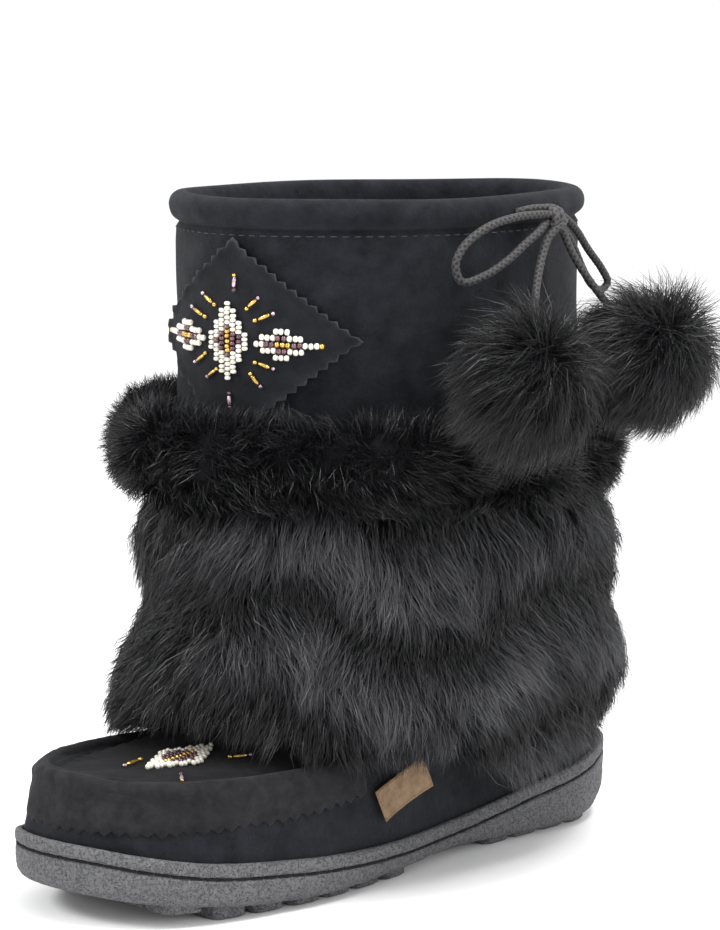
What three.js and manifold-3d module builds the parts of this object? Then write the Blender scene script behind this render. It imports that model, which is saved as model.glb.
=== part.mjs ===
// Mukluk boot, left foot: a suede moccasin foot and leg on a moulded rubber cup sole, with a fur
// pelt and fur roll round the leg, a pinked suede diamond, and a drawcord bow with two pompoms.
// Millimetres, +Z up. The toe points to -Y, the heel to +Y, the outer side of the foot to +X.
// In all tables s is the distance ahead of the back of the heel, so y = HEEL_BACK - s.

import * as THREE from 'three';
import { mergeVertices } from 'three/addons/utils/BufferGeometryUtils.js';
import Module from 'manifold-3d';

const wasm = await Module();
wasm.setup();

// ---------------------------------------------------------------- driving dimensions
const SOLE_LENGTH = 280;
const HEEL_BACK = SOLE_LENGTH / 2;
const RIM_HEIGHT = 260;
const CASING_HEIGHT = 13.5;
const SEAM_HEIGHT = RIM_HEIGHT - CASING_HEIGHT;
const GAP = 0.3;
const FOXING = 3.0;
const SUEDE_WALL = 3.0;
const APRON_EDGE = 12;
const GROOVE_DROP = 5.5;
const GROOVE_DEPTH = 0.9;
const LUG = { inset: 6, pitch: 16.5, length: 14, fromMiddle: 4, middle: -2, root: 1.5 };
const HEEL_LUGS = { from: 24, rows: 4, bottom: 0 };
const FOREFOOT_LUGS = { from: 140, rows: 6, bottom: 0 };
const TOE_LUGS = { from: 240, rows: 1, depth: 2.6 };
const CORD_DIAMETER = 3.0;
const POMPOM = { radius: 26, rearRadius: 25, holeRadius: 2.2, holePast: 2 };
const BAND = { bottom: 34.5, rise: 1.5, back: 168, lean: 12, lift: 1.3 };
const PATCH = { turn: -79.6, height: 208, halfWidth: 48.5, halfHeight: 37.6, lift: 1.3 };
const LABEL = { s: 150.5, z: 36.9, out: 50.6, width: 26, height: 13.3, thick: 1.0, tilt: 23, turn: -3 };
const BEYOND = 110;
const HALF_STATIONS = 25;
const LEG_STATIONS = 18;

// Edges of the sole in plan, from the back of the heel to the tip of the toe.
const OUTLINE = [
  { s: 0, inner: 0.8, outer: 0.8 },
  { s: 1.5, inner: -13, outer: 13.4 },
  { s: 6, inner: -24, outer: 23 },
  { s: 15, inner: -33, outer: 31 },
  { s: 35, inner: -39.5, outer: 39.3 },
  { s: 70, inner: -38, outer: 40.5 },
  { s: 110, inner: -34.5, outer: 42 },
  { s: 150, inner: -40, outer: 50.5 },
  { s: 190, inner: -50, outer: 53.6 },
  { s: 210, inner: -52.5, outer: 51.5 },
  { s: 235, inner: -50, outer: 47 },
  { s: 255, inner: -43, outer: 39 },
  { s: 268, inner: -34.5, outer: 27 },
  { s: 276, inner: -25, outer: 13.2 },
  { s: 279.2, inner: -16, outer: 1.4 },
  { s: 280, inner: -8, outer: -8 },
];

// Heights along the foot: tread base, foot bed floor, top of the foxing, moccasin ridge,
// height of the upper on its centre line, and how far the apron lies below the ridge.
const HEIGHTS = [
  { s: 0, base: 12.5, floor: 17, lip: 33, ridge: 50, crown: 50, dip: 0 },
  { s: 30, base: 3.4, floor: 14.5, lip: 28, ridge: 50, crown: 66, dip: 0 },
  { s: 60, base: 2.6, floor: 12.5, lip: 23.3, ridge: 50, crown: 80, dip: 0 },
  { s: 120, base: 4.6, floor: 11, lip: 16.3, ridge: 50, crown: 92, dip: 0 },
  { s: 160, base: 4.0, floor: 10.5, lip: 16.8, ridge: 50, crown: 84, dip: 0 },
  { s: 190, base: 3.4, floor: 10.5, lip: 18.3, ridge: 50.5, crown: 57.5, dip: 1 },
  { s: 215, base: 4.0, floor: 11.5, lip: 20.3, ridge: 50.5, crown: 52, dip: 3 },
  { s: 240, base: 6.4, floor: 14, lip: 22.9, ridge: 51.5, crown: 49.2, dip: 3.5 },
  { s: 262, base: 9.2, floor: 16.5, lip: 27, ridge: 53.5, crown: 48.8, dip: 4 },
  { s: 280, base: 12, floor: 20, lip: 30.4, ridge: 56, crown: 50.5, dip: 5 },
];

// Leg of the upper: back and front edges in y and half its width, at each height.
const LEG = [
  { z: 30, back: 131, front: -20, half: 33 },
  { z: 45, back: 132.5, front: -42, half: 42 },
  { z: 60, back: 128.5, front: -56, half: 51 },
  { z: 80, back: 122, front: -60, half: 59.5 },
  { z: 105, back: 117, front: -61, half: 65 },
  { z: 132, back: 114, front: -61, half: 67.3 },
  { z: SEAM_HEIGHT, back: 114, front: -61, half: 67.3 },
];

// Rolled casing above the seam: height above the seam and distance outside the leg.
const CASING = [
  { rise: 1, out: 0 },
  { rise: 1.8, out: -0.8 },
  { rise: 3, out: 1.2 },
  { rise: 6, out: 2.9 },
  { rise: 9.5, out: 2.9 },
  { rise: 12.2, out: 1.2 },
  { rise: CASING_HEIGHT, out: -2 },
];
const CASING_INSIDE = [
  { rise: 12.7, out: -5 },
  { rise: 9.8, out: -6.6 },
  { rise: 3.5, out: -6.6 },
  { rise: 0, out: -3 },
];

// Hair envelope of the pelt, measured like the leg.
const PELT = [
  { z: 24, back: 134, front: -60, half: 44 },
  { z: 34, back: 137, front: -66, half: 50 },
  { z: 44, back: 139, front: -74, half: 61 },
  { z: 54, back: 139.5, front: -84, half: 73 },
  { z: 62, back: 139.5, front: -89, half: 80 },
  { z: 72, back: 139, front: -86, half: 82 },
  { z: 86, back: 136.5, front: -81, half: 83.5 },
  { z: 104, back: 134, front: -78.5, half: 84 },
  { z: 142.5, back: 130, front: -77, half: 82 },
];
const PELT_FOOT = { lift: 4, front: 211 };

// Lower edge of the pelt, seen from the side.
const PELT_EDGE = [
  { s: 232, z: 61 },
  { s: 214, z: 56 },
  { s: 198, z: 52 },
  { s: 171, z: 46 },
  { s: 152, z: 49.5 },
  { s: 134, z: 51.5 },
  { s: 130, z: 37 },
  { s: 96, z: 29 },
  { s: 74, z: 34 },
  { s: 53, z: 37 },
  { s: 28, z: 38 },
  { s: -10, z: 41 },
];

// Section of the fur roll: distance outside the leg and height. The roll is thickest at the
// front of the leg, at thickAt degrees round it from the back.
const TRIM_LEAN = { mean: 0.93, swing: 0.28, thickAt: 180, from: 5 };
const TRIM = [
  { out: 0.3, z: 143 },
  { out: 0.3, z: 168 },
  { out: 2.4, z: 169.8 },
  { out: 2.4, z: 186 },
  { out: 7, z: 187.5 },
  { out: 14, z: 183 },
  { out: 20, z: 174 },
  { out: 22.5, z: 163 },
  { out: 21.5, z: 152 },
  { out: 15, z: 144.5 },
  { out: 7, z: 143 },
];

// Routes of the drawcord, every point on the centre line of the cord.
const KNOT = { x: 75.5, y: 42.8, z: 250.8, radius: 4.6 };
const ROUTES = {
  drawcord_lead: [
    { x: 72.3, y: 32.4, z: 254.2 },
    { x: 72.6, y: 35.2, z: 254.5 },
    { x: 73.6, y: 38.3, z: 254.3 },
  ],
  bow_loop_front: [
    { x: 76.5, y: 37.5, z: 252.6 },
    { x: 77.2, y: 31.0, z: 252.6 },
    { x: 76.6, y: 21.9, z: 252.1 },
    { x: 75.7, y: 6.9, z: 248.7 },
    { x: 73.6, y: -2.5, z: 242.3 },
    { x: 72.8, y: -6.0, z: 235.6 },
    { x: 73.2, y: -3.2, z: 229.4 },
    { x: 75.2, y: 7.0, z: 231.3 },
    { x: 76.8, y: 17.5, z: 236.4 },
    { x: 77.6, y: 26.0, z: 242.0 },
    { x: 77.8, y: 33.5, z: 246.4 },
    { x: 77.0, y: 37.8, z: 248.8 },
  ],
  bow_loop_rear: [
    { x: 75.6, y: 48.2, z: 251.2 },
    { x: 74.8, y: 52.5, z: 249.6 },
    { x: 72.9, y: 59.8, z: 245.2 },
    { x: 70.0, y: 69.5, z: 237.6 },
    { x: 68.6, y: 79.3, z: 229.3 },
    { x: 66.9, y: 84.6, z: 223.8 },
    { x: 67.6, y: 80.4, z: 221.2 },
    { x: 70.6, y: 70.8, z: 224.2 },
    { x: 72.2, y: 64.4, z: 230.2 },
    { x: 73.6, y: 57.3, z: 239.2 },
    { x: 75.0, y: 50.4, z: 246.0 },
    { x: 75.8, y: 47.3, z: 247.5 },
  ],
  bow_end_front: [
    { x: 79.0, y: 40.6, z: 246.8 },
    { x: 79.4, y: 36.4, z: 243.6 },
    { x: 81.0, y: 32.0, z: 238.0 },
    { x: 85.0, y: 24.8, z: 228.8 },
    { x: 91.0, y: 17.0, z: 219.0 },
    { x: 98.5, y: 8.8, z: 207.0 },
    { x: 105.0, y: 2.2, z: 197.0 },
  ],
  bow_end_rear: [
    { x: 79.0, y: 44.7, z: 246.8 },
    { x: 79.8, y: 46.2, z: 242.4 },
    { x: 82.4, y: 49.1, z: 235.0 },
    { x: 87.6, y: 53.6, z: 225.0 },
    { x: 95.4, y: 59.2, z: 213.0 },
    { x: 104.2, y: 65.4, z: 200.6 },
  ],
};

// ---------------------------------------------------------------- materials
const COLOURS = {
  suede: { color: 0x23262c, roughness: 0.95, metalness: 0 },
  suedeBand: { color: 0x302e32, roughness: 0.95, metalness: 0 },
  fur: { color: 0x121216, roughness: 0.8, metalness: 0 },
  rubber: { color: 0x737376, roughness: 0.85, metalness: 0 },
  fleece: { color: 0x3a3a3c, roughness: 1, metalness: 0 },
  cord: { color: 0x464444, roughness: 0.8, metalness: 0 },
  tan: { color: 0xaa8c64, roughness: 0.7, metalness: 0 },
};

const boot = new THREE.Group();

function addPart(name, geometry, finish) {
  const material = new THREE.MeshStandardMaterial(COLOURS[finish]);
  const mesh = new THREE.Mesh(geometry, material);
  mesh.name = name;
  boot.add(mesh);
}

// ---------------------------------------------------------------- solids and booleans
function weld(geometry) {
  geometry.deleteAttribute('normal');
  geometry.deleteAttribute('uv');
  const welded = mergeVertices(geometry, 1e-4);
  const index = [];
  const old = welded.index.array;
  for (let i = 0; i < old.length; i += 3) {
    const [a, b, c] = [old[i], old[i + 1], old[i + 2]];
    if (a !== b && b !== c && c !== a) index.push(a, b, c);
  }
  welded.setIndex(index);
  return welded;
}

function signedVolume(geometry) {
  const points = geometry.attributes.position;
  const index = geometry.index.array;
  const [a, b, c] = [new THREE.Vector3(), new THREE.Vector3(), new THREE.Vector3()];
  let volume = 0;
  for (let i = 0; i < index.length; i += 3) {
    a.fromBufferAttribute(points, index[i]);
    b.fromBufferAttribute(points, index[i + 1]);
    c.fromBufferAttribute(points, index[i + 2]);
    volume += a.dot(b.cross(c)) / 6;
  }
  return volume;
}

// A closed geometry with its faces pointing out.
function facingOut(geometry) {
  const welded = weld(geometry);
  if (signedVolume(welded) < 0) welded.setIndex(Array.from(welded.index.array).reverse());
  return welded;
}

function solid(geometry) {
  const welded = facingOut(geometry);
  const vertProperties = new Float32Array(welded.attributes.position.array);
  const triVerts = new Uint32Array(welded.index.array);
  return new wasm.Manifold(new wasm.Mesh({ numProp: 3, vertProperties, triVerts }));
}

function geometryOf(manifold) {
  const mesh = manifold.getMesh();
  const geometry = new THREE.BufferGeometry();
  geometry.setAttribute('position', new THREE.BufferAttribute(mesh.vertProperties, 3));
  geometry.setIndex(new THREE.BufferAttribute(mesh.triVerts, 1));
  geometry.computeVertexNormals();
  return geometry;
}

// ---------------------------------------------------------------- curves
// A column of a table as a smooth function of its first column, without overshoot.
function column(table, key, value) {
  const slope = (i) => {
    if (i === 0 || i === table.length - 1) return 0;
    const before = (table[i][value] - table[i - 1][value]) / (table[i][key] - table[i - 1][key]);
    const after = (table[i + 1][value] - table[i][value]) / (table[i + 1][key] - table[i][key]);
    return before * after > 0 ? (2 * before * after) / (before + after) : 0;
  };
  return (at) => {
    const last = table.length - 1;
    if (at <= table[0][key]) return table[0][value];
    if (at >= table[last][key]) return table[last][value];
    const i = table.findIndex((row) => row[key] > at) - 1;
    const span = table[i + 1][key] - table[i][key];
    const t = (at - table[i][key]) / span;
    const step = t * t * (3 - 2 * t);
    const bend = t * (1 - t) * ((1 - t) * slope(i) - t * slope(i + 1)) * span;
    return table[i][value] * (1 - step) + table[i + 1][value] * step + bend;
  };
}

const base = column(HEIGHTS, 's', 'base');
const floorOf = column(HEIGHTS, 's', 'floor');
const lip = column(HEIGHTS, 's', 'lip');
const ridge = column(HEIGHTS, 's', 'ridge');
const crown = column(HEIGHTS, 's', 'crown');
const dip = column(HEIGHTS, 's', 'dip');

function soleEdge(side) {
  const points = OUTLINE.map((row) => new THREE.Vector3(row[side], HEEL_BACK - row.s, 0));
  const curve = new THREE.CatmullRomCurve3(points, false, 'centripetal');
  return curve.getSpacedPoints(HALF_STATIONS);
}

// Stations round the sole: heel, outer edge, toe, then the inner edge back to the heel.
const outerEdge = soleEdge('outer');
const innerEdge = soleEdge('inner');
const EDGE = outerEdge.concat(innerEdge.slice(1, -1).reverse());
const STATIONS = EDGE.length;

function outwardNormal(i) {
  const before = EDGE[(i + STATIONS - 1) % STATIONS];
  const after = EDGE[(i + 1) % STATIONS];
  return new THREE.Vector3(before.y - after.y, after.x - before.x, 0).normalize();
}
const NORMALS = EDGE.map((_, i) => outwardNormal(i));

// Closed ring inside the sole edge: height is a function of s.
function footRing(inset, height) {
  return EDGE.map((point, i) => {
    const inside = point.clone().addScaledVector(NORMALS[i], -inset);
    inside.z = height(HEEL_BACK - inside.y);
    return inside;
  });
}

// Ellipse ring round the leg at height z; out may be a function of the turn from the back.
function legRing(row, z, out) {
  const centre = (row.back + row.front) / 2;
  const outAt = typeof out === 'function' ? out : () => out;
  const ring = [];
  for (let i = 0; i < 2 * LEG_STATIONS; i += 1) {
    const turn = (Math.PI * i) / LEG_STATIONS;
    const length = (row.back - row.front) / 2 + outAt(turn);
    const width = row.half + outAt(turn);
    ring.push(new THREE.Vector3(width * Math.sin(turn), centre + length * Math.cos(turn), z));
  }
  return ring;
}

// Closed solid from a stack of rings. Each end is closed by ribs across its ring, lifted by
// a function of the place across the rib (-1 to 1) and of the point.
function stack(rings, ribs = 2, liftBottom = null, liftTop = null) {
  const positions = [];
  const quad = (a, b, c, d) => {
    for (const p of [a, b, c, a, c, d]) positions.push(p.x, p.y, p.z);
  };
  const count = rings[0].length;
  const half = count / 2;
  for (let r = 0; r + 1 < rings.length; r += 1) {
    for (let i = 0; i < count; i += 1) {
      const j = (i + 1) % count;
      quad(rings[r][i], rings[r][j], rings[r + 1][j], rings[r + 1][i]);
    }
  }
  const cap = (ring, lift, flip) => {
    const rib = (i) => {
      const from = ring[i];
      const to = ring[(count - i) % count];
      return Array.from({ length: ribs + 1 }, (_, k) => {
        const point = from.clone().lerp(to, k / ribs);
        if (lift && k > 0 && k < ribs && i > 0 && i < half) lift(point, (2 * k) / ribs - 1);
        return point;
      });
    };
    for (let i = 0; i < half; i += 1) {
      const here = rib(i);
      const next = rib(i + 1);
      for (let k = 0; k < ribs; k += 1) {
        if (flip) quad(here[k], here[k + 1], next[k + 1], next[k]);
        else quad(here[k], next[k], next[k + 1], here[k + 1]);
      }
    }
  };
  cap(rings[0], liftBottom, true);
  cap(rings[rings.length - 1], liftTop, false);
  const geometry = new THREE.BufferGeometry();
  geometry.setAttribute('position', new THREE.Float32BufferAttribute(positions, 3));
  return geometry;
}

// Prism across the boot from an outline in the side view.
function sidePrism(points, halfDepth) {
  const shape = new THREE.Shape(points.map((p) => new THREE.Vector2(p.y, p.z)));
  const geometry = new THREE.ExtrudeGeometry(shape, { depth: 2 * halfDepth, bevelEnabled: false });
  geometry.translate(0, 0, -halfDepth);
  const axes = new THREE.Matrix4().set(0, 0, 1, 0, 1, 0, 0, 0, 0, 1, 0, 0, 0, 0, 0, 1);
  geometry.applyMatrix4(axes);
  return solid(geometry);
}

// Upright prism from an outline in plan.
function planPrism(points, bottom, top) {
  const shape = new THREE.Shape(points.map((p) => new THREE.Vector2(p.x, p.y)));
  const geometry = new THREE.ExtrudeGeometry(shape, { depth: top - bottom, bevelEnabled: false });
  geometry.translate(0, 0, bottom);
  return solid(geometry);
}

// ---------------------------------------------------------------- outsole
// One moulded cup: tread base, wall with a stitching groove, foxing lip, foot bed floor.
function makeOutsole() {
  const groove = (s) => lip(s) - GROOVE_DROP;
  const rings = [
    footRing(5, base),
    footRing(2.2, (s) => base(s) + 1.2),
    footRing(0.6, (s) => base(s) + 3.4),
    footRing(0, (s) => groove(s) - 0.9),
    footRing(GROOVE_DEPTH, groove),
    footRing(0, (s) => groove(s) + 0.9),
    footRing(0, (s) => lip(s) - 1.2),
    footRing(0.8, lip),
    footRing(2.4, lip),
    footRing(FOXING, (s) => lip(s) - 1),
    footRing(FOXING, floorOf),
  ];
  let sole = solid(stack(rings));
  for (const lug of treadLugs()) sole = sole.add(lug);
  return geometryOf(sole);
}

// Blocks of tread: heel and forefoot rows stand on the floor, the toe row rises with the spring.
function treadLugs() {
  const toeBottom = base(TOE_LUGS.from) - TOE_LUGS.depth;
  const groups = [HEEL_LUGS, FOREFOOT_LUGS, { ...TOE_LUGS, bottom: toeBottom }];
  return groups.flatMap((group) => Array.from({ length: group.rows }, (_, row) => {
    const s = group.from + row * LUG.pitch;
    return [makeLug('outer', 1, s, group.bottom), makeLug('inner', -1, s, group.bottom)];
  })).flat();
}

// One block, from near the middle line to a line inside the sole's edge.
function makeLug(side, sign, s, bottom) {
  const edgeAt = column(OUTLINE, 's', side);
  const end = s + LUG.length;
  const outline = [s, (s + end) / 2, end].map((at) => ({
    x: edgeAt(at) - sign * LUG.inset,
    y: HEEL_BACK - at,
  }));
  const middle = sign * LUG.fromMiddle + LUG.middle;
  outline.push({ x: middle, y: HEEL_BACK - end }, { x: middle, y: HEEL_BACK - s });
  return planPrism(outline, bottom, Math.max(base(s), base(end)) + LUG.root);
}

// ---------------------------------------------------------------- insole
function makeInsole() {
  const inset = FOXING + GAP + SUEDE_WALL + GAP;
  const bottom = (s) => floorOf(s) + GAP;
  const top = (s) => floorOf(s) + GAP + 3;
  return facingOut(stack([footRing(inset, bottom), footRing(inset, top)]));
}

// ---------------------------------------------------------------- upper
// Foot form: walls rise from the foxing, lean in to the moccasin ridge, and the apron lies
// inside the ridge; towards the heel the apron becomes an arch. lift grows or shrinks it.
function footForm(lift, bottom) {
  const wall = (inset, height) => footRing(inset - lift, height);
  const middle = (s) => (lip(s) + ridge(s)) / 2;
  const rings = [
    wall(FOXING + GAP, bottom),
    wall(FOXING + GAP, (s) => lip(s) - 0.5),
    wall(3.6, (s) => lip(s) + 2),
    wall(4.2, middle),
    wall(5.0, (s) => ridge(s) - 6 + lift * 0.3),
    wall(6.2, (s) => ridge(s) - 2 + lift * 0.7),
    wall(8.5 + lift * 0.2, (s) => ridge(s) + lift),
    wall(10.5 + lift * 0.4, (s) => ridge(s) - 1.4 + lift),
    wall(APRON_EDGE + lift, (s) => ridge(s) - dip(s) + lift),
  ];
  const arch = (point, across) => {
    const s = HEEL_BACK - point.y;
    const edge = ridge(s) - dip(s) + lift;
    const rise = crown(s) + lift - edge;
    point.z = edge + rise * Math.sqrt(1 - across * across);
  };
  return solid(stack(rings, 6, null, arch));
}

// Leg form from the ankle to the top, following the leg table.
function legForm(table, lift, top) {
  const rings = table.map((row) => legRing(row, row.z, lift));
  return solid(stack(rings.concat(top)));
}

const LEG_TOP = LEG[LEG.length - 1];

function makeUpper() {
  const casing = (rows) => rows.map((row) => legRing(LEG_TOP, LEG_TOP.z + row.rise, row.out));
  const outerLeg = legForm(LEG, 0, casing(CASING));
  const insideRows = CASING_INSIDE.toReversed();
  const mouth = { rise: 25, out: CASING_INSIDE[0].out + 2 };
  const innerLeg = legForm(LEG, -SUEDE_WALL, casing(insideRows.slice(1).concat(mouth)));
  const outer = footForm(0, (s) => floorOf(s) + GAP).add(outerLeg);
  const inner = footForm(-SUEDE_WALL, (s) => floorOf(s) - 5).add(innerLeg);
  return outer.subtract(inner);
}

// Outline of the apron in plan: a ring inside the ridge, cut straight across the instep.
const APRON_BACK = 201;

function apronOutline(inset) {
  const back = HEEL_BACK - APRON_BACK - inset + APRON_EDGE;
  const ring = footRing(inset, () => 0).filter((point) => point.y < back);
  const close = (point) => new THREE.Vector3(point.x, back, 0);
  return [close(ring[0]), ...ring, close(ring[ring.length - 1])];
}

// ---------------------------------------------------------------- moccasin band
// Pinked band: follows the foot form from above the foxing, over the ridge, to the apron.
function makeBand() {
  const outerForm = footForm(GAP + BAND.lift, (s) => lip(s));
  const innerForm = footForm(GAP, () => 0);
  const back = HEEL_BACK - BAND.back;
  const region = sidePrism([
    { y: -HEEL_BACK - BAND.lean, z: BAND.bottom },
    { y: back, z: BAND.bottom + BAND.rise },
    { y: back - BAND.lean, z: BEYOND },
    { y: -HEEL_BACK - BAND.lean, z: BEYOND },
  ], BEYOND);
  const hole = planPrism(apronOutline(APRON_EDGE - 1.5).map((point) => {
    const beyondBand = new THREE.Vector3(point.x, back + 30, 0);
    return point.y > HEEL_BACK - APRON_BACK - 1 ? beyondBand : point;
  }), 0, BEYOND);
  return geometryOf(outerForm.subtract(innerForm).intersect(region).subtract(hole));
}

// ---------------------------------------------------------------- fur
function makePelt() {
  const overFoot = sidePrism([
    { y: HEEL_BACK - PELT_FOOT.front, z: 0 },
    { y: HEEL_BACK + 20, z: 0 },
    { y: HEEL_BACK + 20, z: BEYOND },
    { y: HEEL_BACK - PELT_FOOT.front, z: BEYOND },
  ], BEYOND);
  const footOuter = footForm(PELT_FOOT.lift, (s) => lip(s) + 1).intersect(overFoot);
  const envelope = legForm(PELT, 0, []).add(footOuter);
  const below = PELT_EDGE.map((row) => ({ y: HEEL_BACK - row.s, z: row.z }));
  const top = PELT[PELT.length - 1].z;
  const outline = [...below, { y: HEEL_BACK + 10, z: top }, { y: below[0].y, z: top }];
  const clearance = 2 * GAP + BAND.lift;
  const core = footForm(clearance, () => 0).add(legForm(LEG, GAP, []));
  return geometryOf(envelope.intersect(sidePrism(outline, BEYOND)).subtract(core));
}

// Closed ring with the section of the fur roll.
function makeTrim() {
  const thickAt = THREE.MathUtils.degToRad(TRIM_LEAN.thickAt);
  const lean = (turn) => TRIM_LEAN.mean + TRIM_LEAN.swing * Math.cos(turn - thickAt);
  const rings = TRIM.map(({ out, z }) => {
    const reach = (turn) => (out > TRIM_LEAN.from ? out * lean(turn) : out);
    return legRing(LEG_TOP, z, reach);
  });
  const positions = [];
  const count = rings[0].length;
  for (let r = 0; r < rings.length; r += 1) {
    const next = rings[(r + 1) % rings.length];
    for (let i = 0; i < count; i += 1) {
      const j = (i + 1) % count;
      for (const p of [rings[r][i], rings[r][j], next[j], rings[r][i], next[j], next[i]]) {
        positions.push(p.x, p.y, p.z);
      }
    }
  }
  const geometry = new THREE.BufferGeometry();
  geometry.setAttribute('position', new THREE.Float32BufferAttribute(positions, 3));
  return facingOut(geometry);
}

// Pompom: a ball with a blind hole for its cord, drilled from the side that the cord comes from.
function makePompom(radius, cordRoute) {
  const centre = new THREE.Vector3().copy(cordRoute[cordRoute.length - 1]);
  const ball = new THREE.SphereGeometry(radius, 16, 10);
  ball.translate(centre.x, centre.y, centre.z);
  let pompom = solid(ball);
  for (let i = cordRoute.length - 1; i > 0; i -= 1) {
    const end = new THREE.Vector3().copy(cordRoute[i]);
    const start = new THREE.Vector3().copy(cordRoute[i - 1]);
    if (start.distanceTo(centre) > 2.2 * radius) break;
    pompom = pompom.subtract(boreAlong(start, end));
  }
  return geometryOf(pompom);
}

// Eight-sided bore between two points, a little longer than their distance at each end.
function boreAlong(start, end) {
  const along = end.clone().sub(start).normalize();
  const length = start.distanceTo(end) + 2 * POMPOM.holePast;
  const bore = new THREE.CylinderGeometry(POMPOM.holeRadius, POMPOM.holeRadius, length, 8);
  const turn = new THREE.Quaternion().setFromUnitVectors(new THREE.Vector3(0, 1, 0), along);
  bore.applyQuaternion(turn);
  const middle = start.clone().add(end).multiplyScalar(0.5);
  bore.translate(middle.x, middle.y, middle.z);
  return solid(bore);
}

// ---------------------------------------------------------------- diamond patch and label
// Point on the leg: turn in degrees from the outer side towards the heel.
function onLeg(turn, z, out) {
  const a = (LEG_TOP.back - LEG_TOP.front) / 2;
  const centre = (LEG_TOP.back + LEG_TOP.front) / 2;
  const angle = THREE.MathUtils.degToRad(turn);
  const point = new THREE.Vector3(LEG_TOP.half * Math.cos(angle), a * Math.sin(angle), z);
  const normal = new THREE.Vector3(point.x / LEG_TOP.half ** 2, point.y / a ** 2, 0).normalize();
  point.y += centre;
  return point.addScaledVector(normal, out);
}

// Degrees round the leg for a distance along its surface, near the patch.
function turnAt(distance) {
  const steps = 24;
  let turn = PATCH.turn;
  for (let i = 0; i < steps; i += 1) {
    const here = onLeg(turn, 0, 0);
    const ahead = onLeg(turn + 1, 0, 0);
    turn += distance / steps / here.distanceTo(ahead);
  }
  return turn;
}

function makePatch() {
  const cells = 8;
  const corner = (i, j, out) => {
    const u = (i - j) / cells;
    const v = (i + j) / cells - 1;
    return onLeg(turnAt(u * PATCH.halfWidth), PATCH.height + v * PATCH.halfHeight, out);
  };
  const positions = [];
  const quad = (a, b, c, d) => {
    for (const p of [a, b, c, a, c, d]) positions.push(p.x, p.y, p.z);
  };
  const outs = [GAP, GAP + PATCH.lift];
  for (let i = 0; i < cells; i += 1) {
    for (let j = 0; j < cells; j += 1) {
      quad(...[[i, j], [i + 1, j], [i + 1, j + 1], [i, j + 1]].map(([a, b]) => corner(a, b, outs[1])));
      quad(...[[i, j], [i, j + 1], [i + 1, j + 1], [i + 1, j]].map(([a, b]) => corner(a, b, outs[0])));
    }
    for (const [from, to] of [
      [[i, 0], [i + 1, 0]],
      [[cells, i], [cells, i + 1]],
      [[i + 1, cells], [i, cells]],
      [[0, i + 1], [0, i]],
    ]) {
      quad(corner(...from, outs[0]), corner(...to, outs[0]), corner(...to, outs[1]),
        corner(...from, outs[1]));
    }
  }
  const geometry = new THREE.BufferGeometry();
  geometry.setAttribute('position', new THREE.Float32BufferAttribute(positions, 3));
  return facingOut(geometry);
}

function makeLabel() {
  const geometry = new THREE.BoxGeometry(LABEL.thick, LABEL.width, LABEL.height);
  geometry.rotateX(THREE.MathUtils.degToRad(LABEL.tilt));
  geometry.rotateZ(THREE.MathUtils.degToRad(LABEL.turn));
  geometry.translate(LABEL.out, HEEL_BACK - LABEL.s, LABEL.z);
  return facingOut(geometry);
}

// ---------------------------------------------------------------- drawcord
function makeCord(route) {
  const points = route.map((row) => new THREE.Vector3(row.x, row.y, row.z));
  const path = new THREE.CatmullRomCurve3(points, false, 'centripetal');
  const section = new THREE.Shape();
  const sides = 8;
  for (let i = 0; i <= sides; i += 1) {
    const turn = (2 * Math.PI * i) / sides;
    const x = (CORD_DIAMETER / 2) * Math.cos(turn);
    const y = (CORD_DIAMETER / 2) * Math.sin(turn);
    if (i === 0) section.moveTo(x, y);
    else if (i < sides) section.lineTo(x, y);
    else section.closePath();
  }
  const steps = Math.max(2, Math.round(path.getLength() / (2.4 * CORD_DIAMETER)));
  return facingOut(new THREE.ExtrudeGeometry(section, { steps, extrudePath: path }));
}

// ---------------------------------------------------------------- assembly
const upper = makeUpper();
const apronCut = planPrism(apronOutline(APRON_EDGE), 40, 70);
const apronKeep = planPrism(apronOutline(APRON_EDGE + GAP), 40, 70);

addPart('outsole', makeOutsole(), 'rubber');
addPart('insole', makeInsole(), 'fleece');
addPart('upper', geometryOf(upper.subtract(apronCut)), 'suede');
addPart('apron', geometryOf(upper.intersect(apronKeep)), 'suede');
addPart('moc_band', makeBand(), 'suedeBand');
addPart('fur_leg', makePelt(), 'fur');
addPart('fur_trim', makeTrim(), 'fur');
addPart('diamond_patch', makePatch(), 'suedeBand');
addPart('label', makeLabel(), 'tan');

const knot = new THREE.SphereGeometry(KNOT.radius, 12, 7);
knot.translate(KNOT.x, KNOT.y, KNOT.z);
addPart('bow_knot', facingOut(knot), 'cord');
for (const [name, route] of Object.entries(ROUTES)) addPart(name, makeCord(route), 'cord');

addPart('pompom_front', makePompom(POMPOM.radius, ROUTES.bow_end_front), 'fur');
addPart('pompom_rear', makePompom(POMPOM.rearRadius, ROUTES.bow_end_rear), 'fur');

export default boot;
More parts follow.
